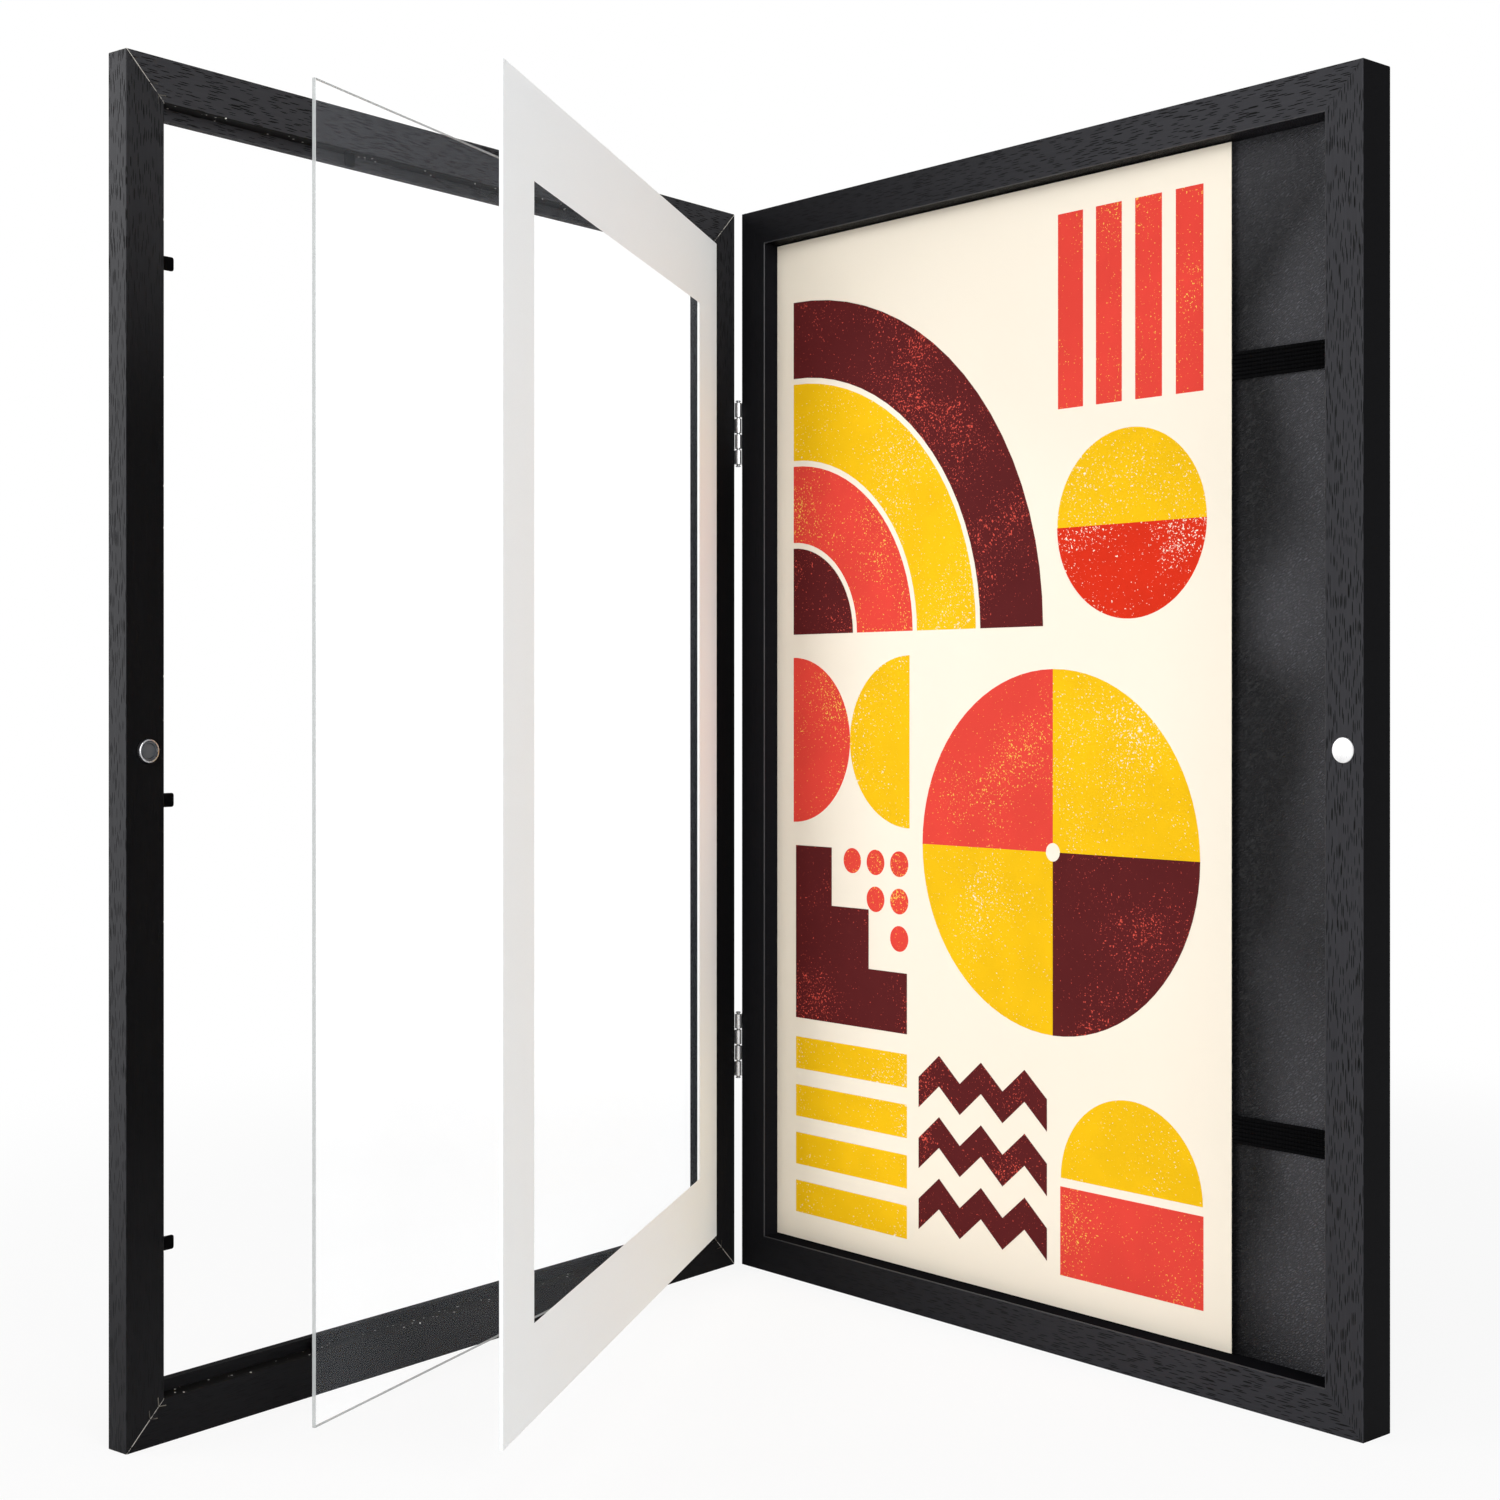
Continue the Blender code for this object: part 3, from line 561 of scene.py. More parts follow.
@dataclass(frozen=True)
class RibbedElastic(Finish):
    """Black woven elastic, its weft showing as fine crosswise steps on each rib."""

    tone: Colour = (0.0035, 0.0035, 0.004)
    weft: float = 0.7 * MM
    fuzz_scale: float = 4200.0
    dark_share: float = 0.5
    relief: Pair = (0.1 * MM, 0.7)

    def surface(self, nodes: Nodes, spot: Socket) -> Socket:
        """A crosswise wave with a fine fuzz over it.

        Args:
            nodes: the material's tree.
            spot: object coordinates in the finish's own place, in metres.

        Returns:
            The shader's output.
        """
        scale = 1 / (self.weft * 2 * math.pi)
        inputs = {"Vector": spot, "Scale": scale, "Distortion": 0.6, "Detail": 1.0}
        wave = nodes.add("ShaderNodeTexWave", inputs, wave_type="BANDS", bands_direction="X").outputs["Fac"]
        height = nodes.math("ADD", wave, nodes.noise(spot, self.fuzz_scale))
        return nodes.principled(
            Base_Color=nodes.mottle(wave, self.tone, self.dark_share),
            Roughness=0.9,
            Specular_IOR_Level=0.04,
            Normal=nodes.bump(height, *self.relief),
        )


@dataclass(frozen=True)
class PlatedMetal(Finish):
    """Plated steel with faint scratches."""

    tone: Colour = (0.64, 0.64, 0.66)
    shade: Colour = (0.56, 0.56, 0.58)
    roughness: float = 0.28
    spread: float = 0.1
    metallic: float = 1.0
    scratches: Triple = (9000.0, 9000.0, 600.0)
    cloud_scale: float = 130.0
    cloud_levels: Pair = (0.35, 0.7)
    relief: Pair = (0.02 * MM, 0.3)

    def surface(self, nodes: Nodes, spot: Socket) -> Socket:
        """Cloudy plating and fine scratches along Z.

        Args:
            nodes: the material's tree.
            spot: object coordinates in the finish's own place, in metres.

        Returns:
            The shader's output.
        """
        scratches = nodes.noise(nodes.scaled(spot, self.scratches), 1.0)
        clouds = nodes.span(nodes.noise(spot, self.cloud_scale), *self.cloud_levels)
        return nodes.principled(
            Base_Color=nodes.mix(clouds, self.shade, self.tone),
            Metallic=self.metallic,
            Roughness=nodes.blend(scratches, self.roughness - self.spread, self.roughness + self.spread),
            Normal=nodes.bump(scratches, *self.relief),
        )


@dataclass(frozen=True)
class PaintedBlack(Finish):
    """Black coat on metal, board or a smooth face of the wood."""

    tone: Colour = (0.012, 0.012, 0.013)
    roughness: float = 0.42
    grain: float = 2400.0
    gloss: float = 0.5
    peel_levels: Pair = (0.3, 0.7)
    dark_share: float = 0.7
    relief: Pair = (0.05 * MM, 0.4)

    def surface(self, nodes: Nodes, spot: Socket) -> Socket:
        """An even coat with a slight orange-peel.

        Args:
            nodes: the material's tree.
            spot: object coordinates in the finish's own place, in metres.

        Returns:
            The shader's output.
        """
        peel = nodes.noise(spot, self.grain, detail=3.0)
        return nodes.principled(
            Base_Color=nodes.mottle(nodes.span(peel, *self.peel_levels), self.tone, self.dark_share),
            Roughness=self.roughness,
            Specular_IOR_Level=self.gloss,
            Normal=nodes.bump(peel, *self.relief),
        )


@dataclass(frozen=True)
class WornEdge(Finish):
    """A mitred edge whose paint has worn off here and there down to pale wood."""

    tone: Colour = (0.010, 0.010, 0.010)
    bare: Colour = (0.52, 0.50, 0.46)
    wear_scale: float = 420.0
    wear_levels: Pair = (0.33, 0.43)

    def surface(self, nodes: Nodes, spot: Socket) -> Socket:
        """Short bare stretches along the edge.

        Args:
            nodes: the material's tree.
            spot: object coordinates in the finish's own place, in metres.

        Returns:
            The shader's output.
        """
        patches = nodes.noise(spot, self.wear_scale, detail=3.0, rough=0.6)
        wear = nodes.span(patches, *self.wear_levels)
        colour = nodes.mix(wear, self.tone, self.bare)
        return nodes.principled(Base_Color=colour, Roughness=0.8, Specular_IOR_Level=0.1)


@dataclass(frozen=True)
class Card(Finish):
    """Pale card or paper with a faint tooth."""

    tone: Colour = (0.776, 0.768, 0.738)
    fleck: float = 0.06
    tooth_scale: float = 2600.0
    tooth_levels: Pair = (0.35, 0.65)
    relief: Pair = (0.05 * MM, 0.35)

    def surface(self, nodes: Nodes, spot: Socket) -> Socket:
        """A fine tooth all over.

        Args:
            nodes: the material's tree.
            spot: object coordinates in the finish's own place, in metres.

        Returns:
            The shader's output.
        """
        tooth = nodes.noise(spot, self.tooth_scale, detail=3.0, rough=0.6)
        return nodes.principled(
            Base_Color=nodes.mottle(nodes.span(tooth, *self.tooth_levels), self.tone, 1 - self.fleck),
            Roughness=0.85,
            Specular_IOR_Level=0.25,
            Normal=nodes.bump(tooth, *self.relief),
        )


@dataclass(frozen=True)
class WornInk(Finish):
    """Ink laid by a press, with specks where the paper or an ink below shows through."""

    ink: Ink = Ink.YELLOW
    below: Colour = (0.97, 0.87, 0.73)
    wear: float = 0.1
    patch_scale: float = 24.0
    patch_levels: Pair = (0.35, 0.75)
    fine_scale: float = 1100.0
    fine_levels: Pair = (0.695, 0.73)
    coarse_scale: float = 430.0
    coarse_levels: Pair = (0.71, 0.735)
    cloud_scale: float = 40.0
    cloud_levels: Pair = (0.3, 0.7)
    dark_share: float = 0.93

    def surface(self, nodes: Nodes, spot: Socket) -> Socket:
        """Specks come in two sizes, and gather in broad worn patches.

        Args:
            nodes: the material's tree.
            spot: object coordinates in the finish's own place, in metres.

        Returns:
            The shader's output.
        """
        patches = nodes.span(nodes.noise(spot, self.patch_scale, detail=3.0), *self.patch_levels)
        worn = nodes.math("MULTIPLY", patches, self.wear)
        fine = nodes.math("ADD", nodes.noise(spot, self.fine_scale, rough=0.6), worn)
        coarse = nodes.math("ADD", nodes.noise(spot, self.coarse_scale, detail=4.0, rough=0.75), worn)
        small = nodes.span(fine, *self.fine_levels)
        large = nodes.span(coarse, *self.coarse_levels)
        specks = nodes.math("MAXIMUM", small, large)
        clouds = nodes.span(nodes.noise(spot, self.cloud_scale), *self.cloud_levels)
        ink = nodes.mottle(clouds, self.ink.value, self.dark_share)
        colour = nodes.mix(specks, ink, self.below)
        return nodes.principled(Base_Color=colour, Roughness=0.75, Specular_IOR_Level=0.08)


@dataclass(frozen=True)
class ClearSheet(Finish):
    """The clear pane's faces: see-through, with a faint gloss and a milky haze."""

    gloss: Colour = (0.004, 0.004, 0.004)
    haze: Colour = (0.0140, 0.0150, 0.0165)
    roughness: float = 0.06

    def surface(self, nodes: Nodes, spot: Socket) -> Socket:
        """Adds the gloss and the haze to what lies behind.

        Args:
            nodes: the material's tree.
            spot: object coordinates in the finish's own place, in metres; not used.

        Returns:
            The shader's output.
        """
        through = nodes.add("ShaderNodeBsdfTransparent", {"Color": as_colour(WHITE)}).outputs[0]
        polish = {"Color": as_colour(self.gloss), "Roughness": self.roughness}
        sheen = nodes.add("ShaderNodeBsdfAnisotropic", polish).outputs[0]
        veil = nodes.add("ShaderNodeBsdfDiffuse", {"Color": as_colour(self.haze)}).outputs[0]
        film = nodes.add("ShaderNodeAddShader", {0: sheen, 1: veil}).outputs[0]
        return nodes.add("ShaderNodeAddShader", {0: through, 1: film}).outputs[0]


@dataclass(frozen=True)
class SawnEdge(Finish):
    """The pane's polished edge, which gathers light into a grey line."""

    tone: Colour = (0.46, 0.48, 0.48)
    saw_lines: Triple = (6000.0, 6000.0, 300.0)
    line_levels: Pair = (0.3, 0.7)
    dark_share: float = 0.86

    def surface(self, nodes: Nodes, spot: Socket) -> Socket:
        """Fine saw lines along the edge.

        Args:
            nodes: the material's tree.
            spot: object coordinates in the finish's own place, in metres.

        Returns:
            The shader's output.
        """
        lines = nodes.noise(nodes.scaled(spot, self.saw_lines), 1.0)
        colour = nodes.mottle(nodes.span(lines, *self.line_levels), self.tone, self.dark_share)
        return nodes.principled(Base_Color=colour, Roughness=0.25, Alpha=0.85)


STEEL = PlatedMetal("bright_steel")
DULL_STEEL = PlatedMetal("dull_steel", tone=(0.34, 0.34, 0.35), shade=(0.28, 0.28, 0.29), roughness=0.4)
NICKEL = PlatedMetal(
    "nickel_plate", tone=(0.93, 0.93, 0.94), shade=(0.88, 0.88, 0.89), roughness=0.3, metallic=0.35
)
# Its near-black clouds are painted shadow, standing for the slots the nails sit in; the pale tone is the
# wire's own.
NAIL_WIRE = PlatedMetal("nail_wire", tone=(0.26, 0.24, 0.20), shade=(0.03, 0.03, 0.03), roughness=0.4)
ZINC = PlatedMetal(
    "zinc_plate", tone=(0.72, 0.72, 0.73), shade=(0.66, 0.66, 0.67), roughness=0.34, metallic=0.85
)
DISHED_STEEL = PlatedMetal(
    "dished_steel", tone=(0.125, 0.135, 0.15), shade=(0.10, 0.108, 0.12), roughness=0.5
)
BOARD = PaintedBlack("black_board", tone=(0.022, 0.022, 0.023), roughness=0.7, grain=900.0)
TAB_COAT = PaintedBlack("tab_coat", tone=(0.0016, 0.0016, 0.0018), roughness=0.8, gloss=0.02)
WORN_MITRE = WornEdge("worn_mitre_edge")
FILLED_MITRE = PaintedBlack("filled_mitre_edge", tone=(0.017, 0.017, 0.019), roughness=0.7, gloss=0.04)
INNER_WALL = PaintedBlack("smooth_inner_wall", tone=(0.0085, 0.0085, 0.0100), roughness=1.0, gloss=0.0)
# A painted highlight along the box's inner front arris, where the edge catches the light.
ARRIS_HIGHLIGHT = PaintedBlack("rubbed_arris", tone=(0.034, 0.034, 0.038), roughness=0.4, gloss=0.4)
SMOOTH_SIDE = PaintedBlack("smooth_painted_side", tone=(0.0035, 0.0035, 0.0042), roughness=0.6, gloss=0.06)
REBATE_WALL = SpeckledBlack("speckled_rebate_wall")
ELASTIC = RibbedElastic("ribbed_elastic")
CARD_FACE = Card("mat_card_face", tone=(0.80, 0.83, 0.845), fleck=0.02)
CARD_CORE = Card("mat_card_core", tone=(0.9, 0.895, 0.87), fleck=0.03)
PAPER = Card("print_paper", tone=(0.975, 0.875, 0.735), fleck=0.025)


def add_thing(name: str, data: bpy.types.ID) -> Thing:
    """Makes an object of its data and puts it into the scene at the origin.

    Args:
        name: the object's name.
        data: its mesh, camera or lamp.

    Returns:
        The new object.
    """
    made = bpy.data.objects.new(name, data)
    bpy.context.collection.objects.link(made)
    return made


def make_piece(
    name: str, shape: Shape, finishes: Sequence[Finish], smooth_angle: float | None = 35.0
) -> Thing:
    """Turns a shape into an object at the origin.

    Args:
        name: the piece's name.
        shape: its mesh, which is used up.
        finishes: its materials, in the order of the faces' material numbers.
        smooth_angle: edges flatter than this, in degrees, are shaded smooth. None shades all flat.

    Returns:
        The new object.
    """
    bmesh.ops.recalc_face_normals(shape, faces=shape.faces)
    mesh = bpy.data.meshes.new(name)
    shape.to_mesh(mesh)
    shape.free()
    for finish in finishes:
        mesh.materials.append(finish.build())
    if smooth_angle is not None:
        mesh.shade_smooth()
        mesh.set_sharp_from_angle(angle=math.radians(smooth_angle))
    return add_thing(name, mesh)


def settle(thing: Thing) -> Thing:
    """Applies an object's modifiers, so that its mesh is plain.

    Args:
        thing: the object.

    Returns:
        The same object.
    """
    depsgraph = bpy.context.evaluated_depsgraph_get()
    mesh = bpy.data.meshes.new_from_object(thing.evaluated_get(depsgraph), depsgraph=depsgraph)
    thing.modifiers.clear()
    thing.data = mesh
    mesh.name = thing.name
    return thing


def hand_over(thing: Thing, body: str, nodes: Iterable[str] = ()) -> None:
    """Hands a finished piece to the frame.

    Args:
        thing: the piece.
        body: the body that carries it.
        nodes: the CAD nodes that it stands for.
    """
    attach(thing, body)
    if nodes:
        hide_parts(*nodes)
    LOG.info("%s: %d faces", thing.name, len(thing.data.polygons))


def dress(node: str, finish: Finish) -> None:
    """Gives a CAD node that keeps its own shape a better material.

    Args:
        node: the node's name.
        finish: its material.
    """
    thing = frame["nodes"][node]
    thing.data.materials.clear()
    thing.data.materials.append(finish.build())
    LOG.info("%s: dressed as %s", node, finish.name)


def bridge(
    shape: Shape, loops: Sequence[Sequence[Vector]], closed: bool = False
) -> list[list[bmesh.types.BMFace]]:
    """Joins a row of matching loops with quads.

    Args:
        shape: the mesh to add to.
        loops: rings of points, all as long as each other.
        closed: whether the last ring joins the first. Otherwise both ends are capped.

    Returns:
        The faces of each band, and the two caps last where they were made.
    """
    rings = [[shape.verts.new(point) for point in loop] for loop in loops]
    bands = []
    for first, second in zip(rings, rings[1:] + rings[:1] if closed else rings[1:]):
        quads = zip(first, first[1:] + first[:1], second[1:] + second[:1], second)
        bands.append([shape.faces.new(quad) for quad in quads])
    if not closed:
        bands.append([shape.faces.new(rings[0]), shape.faces.new(rings[-1])])
    return bands


def paint(band: Iterable[bmesh.types.BMFace], number: int) -> None:
    """Gives faces their material number."""
    for face in band:
        face.material_index = number


def circle(centre: Vector, across: Vector, beside: Vector, radius: float, steps: int) -> list[Vector]:
    """Points round a centre, starting across and going towards beside."""
    turns = [2 * math.pi * i / steps for i in range(steps)]
    return [centre + (across * math.cos(turn) + beside * math.sin(turn)) * radius for turn in turns]


def turned(shape: Shape, origin: Vector, axis: Vector, profile: Sequence[Pair], steps: int) -> None:
    """Adds a solid of revolution.

    Args:
        shape: the mesh to add to.
        origin: where the axis starts.
        axis: its direction, one metre long.
        profile: (distance along the axis, radius) points, none with radius zero.
        steps: facets round it.
    """
    across = axis.orthogonal().normalized()
    beside = axis.cross(across)
    bridge(shape, [circle(origin + axis * far, across, beside, radius, steps) for far, radius in profile])


def slab(
    shape: Shape,
    outline: Sequence[Point],
    levels: Sequence[Pair],
    point: Callable[[float, float, float], Vector],
    middle: float = 0.0,
) -> list[list[bmesh.types.BMFace]]:
    """Adds a plate whose outline is drawn in at some levels, to chamfer its edges.

    Args:
        shape: the mesh to add to.
        outline: its (x, y) points, set evenly about y = 0.
        levels: each level, and how far the outline is drawn in there.
        point: gives the place of an (x, y, level).
        middle: the outline's middle in x.

    Returns:
        The faces of each band, and the two caps last.
    """
    loops = []
    for level, drawn in levels:
        loop = []
        for x, y in outline:
            loop.append(point(x - math.copysign(drawn, x - middle), y - math.copysign(drawn, y), level))
        loops.append(loop)
    return bridge(shape, loops)


def rounded(corners: Sequence[Triple], steps: int = 5) -> list[Point]:
    """Rounds the corners of an outline.

    Args:
        corners: (x, y, radius) of each corner, in order. A radius of zero leaves it sharp.
        steps: chords of each rounded corner.

    Returns:
        The points of the outline.
    """
    outline = []
    for i, (x, y, radius) in enumerate(corners):
        if not radius:
            outline.append((x, y))
            continue
        here = Vector((x, y))
        before = (Vector(corners[i - 1][:2]) - here).normalized()
        after = (Vector(corners[(i + 1) % len(corners)][:2]) - here).normalized()
        centre = here + (before + after) * radius
        for k in range(steps + 1):
            turn = math.pi / 2 * k / steps
            point = centre - after * radius * math.cos(turn) - before * radius * math.sin(turn)
            outline.append(tuple(point))
    return outline


def tongue(start: float, end: float, half: float, radius: float, steps: int = 5) -> list[Point]:
    """An oblong from start to end in x, with its two corners at the end rounded."""
    corners = [(start, -half, 0.0), (end, -half, radius), (end, half, radius), (start, half, 0.0)]
    return rounded(corners, steps)


def member_point(side: Side, inset: float, along: float) -> Point:
    """Finds a place on a member.

    Args:
        side: which member.
        inset: distance from its outer edge.
        along: distance from its middle.

    Returns:
        The place, as (x, z).
    """
    if side is Side.HINGE:
        return inset, along
    if side is Side.LATCH:
        return SIZES.width - inset, along
    if side is Side.TOP:
        return SIZES.width / 2 + along, SIZES.height / 2 - inset
    return SIZES.width / 2 + along, inset - SIZES.height / 2


class GeometryTree:
    """A Geometry Nodes tree with named inputs, run once on an object and then made plain mesh."""

    def __init__(self, name: str, **kinds: tuple[str, Any]) -> None:
        """Starts the tree.

        Args:
            name: the tree's name.
            kinds: for each input, named by words joined with underscores, its socket type and value.
        """
        self.group = bpy.data.node_groups.new(name, "GeometryNodeTree")
        self.nodes = Nodes(self.group)
        self.values: dict[str, Any] = {}
        sockets = self.group.interface
        sockets.new_socket("Geometry", in_out="INPUT", socket_type="NodeSocketGeometry")
        sockets.new_socket("Geometry", in_out="OUTPUT", socket_type="NodeSocketGeometry")
        for key, (kind, value) in kinds.items():
            label = key.replace("_", " ")
            socket = sockets.new_socket(label, in_out="INPUT", socket_type=f"NodeSocket{kind}")
            self.values[socket.identifier] = value
        self.entry = self.nodes.add("NodeGroupInput")

    def input(self, name: str) -> Socket:
        """One of the tree's inputs."""
        return self.entry.outputs[name]

    def run(self, thing: Thing, geometry: Socket) -> Thing:
        """Ends the tree in Realize Instances and Set Material, and runs it on an object.

        Args:
            thing: the object.
            geometry: what the tree has made so far.

        Returns:
            The same object, with the result as its plain mesh.
        """
        plain = self.nodes.add("GeometryNodeRealizeInstances", {0: geometry}).outputs[0]
        inputs = {"Geometry": plain, "Material": self.input("Finish")}
        dressed = self.nodes.add("GeometryNodeSetMaterial", inputs).outputs[0]
        self.nodes.add("NodeGroupOutput", {0: dressed})
        modifier = thing.modifiers.new(self.group.name, "NODES")
        modifier.node_group = self.group
        for identifier, value in self.values.items():
            modifier[identifier] = value
        return settle(thing)


@dataclass(frozen=True)
class Spot:
    """Where one copy of a repeated fitting goes, the direction of its +Z and its turn about that."""

    where: Vector
    axis: Vector
    spin: float = 0.0

    @classmethod
    def aimed(cls, where: Vector, axis: Vector, heading: Vector) -> Spot:
        """Makes a spot from the directions that it should face.

        Args:
            where: its place.
            axis: the direction of its +Z.
            heading: the direction that its +X lies as near to as it can.

        Returns:
            The spot.
        """
        along = UP.rotation_difference(axis) @ Vector((1.0, 0.0, 0.0))
        spin = math.atan2(axis.normalized().dot(along.cross(heading)), along.dot(heading))
        return cls(where, axis, spin)


def scatter(name: str, unit: Shape, spots: Sequence[Spot], finish: Finish) -> Thing:
    """Sets copies of a fitting at given spots with a Geometry Nodes tree.

    Args:
        name: the name of the resulting piece.
        unit: one fitting that points along +Z, which is used up.
        spots: where the copies go.
        finish: their material.

    Returns:
        One object with all the copies in its mesh.
    """
    pattern = make_piece(f"{name}_unit", unit, [finish], smooth_angle=30.0)
    mesh = bpy.data.meshes.new(name)
    mesh.from_pydata([spot.where for spot in spots], [], [])
    mesh.attributes.new("axis", "FLOAT_VECTOR", "POINT")
    mesh.attributes.new("spin", "FLOAT", "POINT")
    for i, spot in enumerate(spots):
        mesh.attributes["axis"].data[i].vector = spot.axis
        mesh.attributes["spin"].data[i].value = spot.spin
    carrier = add_thing(name, mesh)

    tree = GeometryTree(
        f"{name}_set",
        Fitting=("Object", pattern),
        Scale=("Float", 1.0),
        Finish=("Material", finish.build()),
    )
    add = tree.nodes.add
    axis = add("GeometryNodeInputNamedAttribute", {"Name": "axis"}, data_type="FLOAT_VECTOR").outputs[0]
    spin = add("GeometryNodeInputNamedAttribute", {"Name": "spin"}, data_type="FLOAT").outputs[0]
    aim = add("FunctionNodeAlignRotationToVector", {"Vector": axis}, axis="Z").outputs[0]
    twist = add("FunctionNodeAxisAngleToRotation", {"Axis": UP, "Angle": spin}).outputs[0]
    turn = {"Rotation": aim, "Rotate By": twist}
    facing = add("FunctionNodeRotateRotation", turn, rotation_space="LOCAL").outputs[0]
    fitting = add("GeometryNodeObjectInfo", {"Object": tree.input("Fitting")}).outputs["Geometry"]
    setting = {
        "Points": tree.input("Geometry"),
        "Instance": fitting,
        "Rotation": facing,
        "Scale": tree.input("Scale"),
    }
    made = tree.run(carrier, add("GeometryNodeInstanceOnPoints", setting).outputs[0])
    bpy.data.objects.remove(pattern, do_unlink=True)
    return made


@dataclass(frozen=True)
class CrossScrew:
    """A countersunk screw with a cross recess, pointing up, with the flat of its head at zero."""

    taper: float
    head: float = 1.6 * MM
    shank: float = 0.8 * MM
    length: float = 9.0 * MM
    steps: int = 24
    arm_share: float = 0.62
    slot_share: float = 0.17
    sink_share: float = 0.7
    floor_share: float = 0.55
    crown_share: float = 0.12
    tip_share: float = 0.85
    point_share: float = 0.3

    def build(self) -> Shape:
        """Models the recess, then the head's cone and the shank below it.

        Returns:
            The screw.
        """
        shape = bmesh.new()
        rim = []
        for i in range(self.steps):
            angle = 2 * math.pi * (i + 0.5) / self.steps
            rim.append(Vector((math.cos(angle), math.sin(angle), 0.0)))
        arm, slot = self.head * self.arm_share, self.head * self.slot_share
        recess = []
        for quarter in range(4):
            cosine, sine = math.cos(math.pi / 2 * quarter), math.sin(math.pi / 2 * quarter)
            for x, y in ((arm, -slot), (arm, slot), (slot, slot)):
                recess.append(Vector((x * cosine - y * sine, x * sine + y * cosine, 0.0)))
        edge = [shape.verts.new(point * self.head) for point in rim]
        mouth = [shape.verts.new(point) for point in recess]
        # Each pair of rim points runs to the nearest point of the recess, so the annulus has no gaps.
        count = len(mouth)
        nearest = [mouth[round((i + 0.5) * count / self.steps + 0.5) % count] for i in range(self.steps)]
        for i in range(self.steps):
            here, after = nearest[i - 1], nearest[i]
            corners = (edge[i - 1], edge[i], here) if here is after else (edge[i - 1], edge[i], after, here)
            shape.faces.new(corners)
        sink = UP * self.taper * self.sink_share
        floor = [shape.verts.new(point * self.floor_share - sink) for point in recess]
        for i in range(count):
            shape.faces.new((mouth[i - 1], mouth[i], floor[i], floor[i - 1]))
        shape.faces.new(floor)
        above = edge
        for depth, size in (
            (self.taper * self.crown_share, self.head),
            (self.taper, self.shank),
            (self.length * self.tip_share, self.shank),
            (self.length, self.shank * self.point_share),
        ):
            below = [shape.verts.new(point * size - UP * depth) for point in rim]
            for i in range(self.steps):
                shape.faces.new((above[i], above[i - 1], below[i - 1], below[i]))
            above = below
        shape.faces.new(above)
        return shape


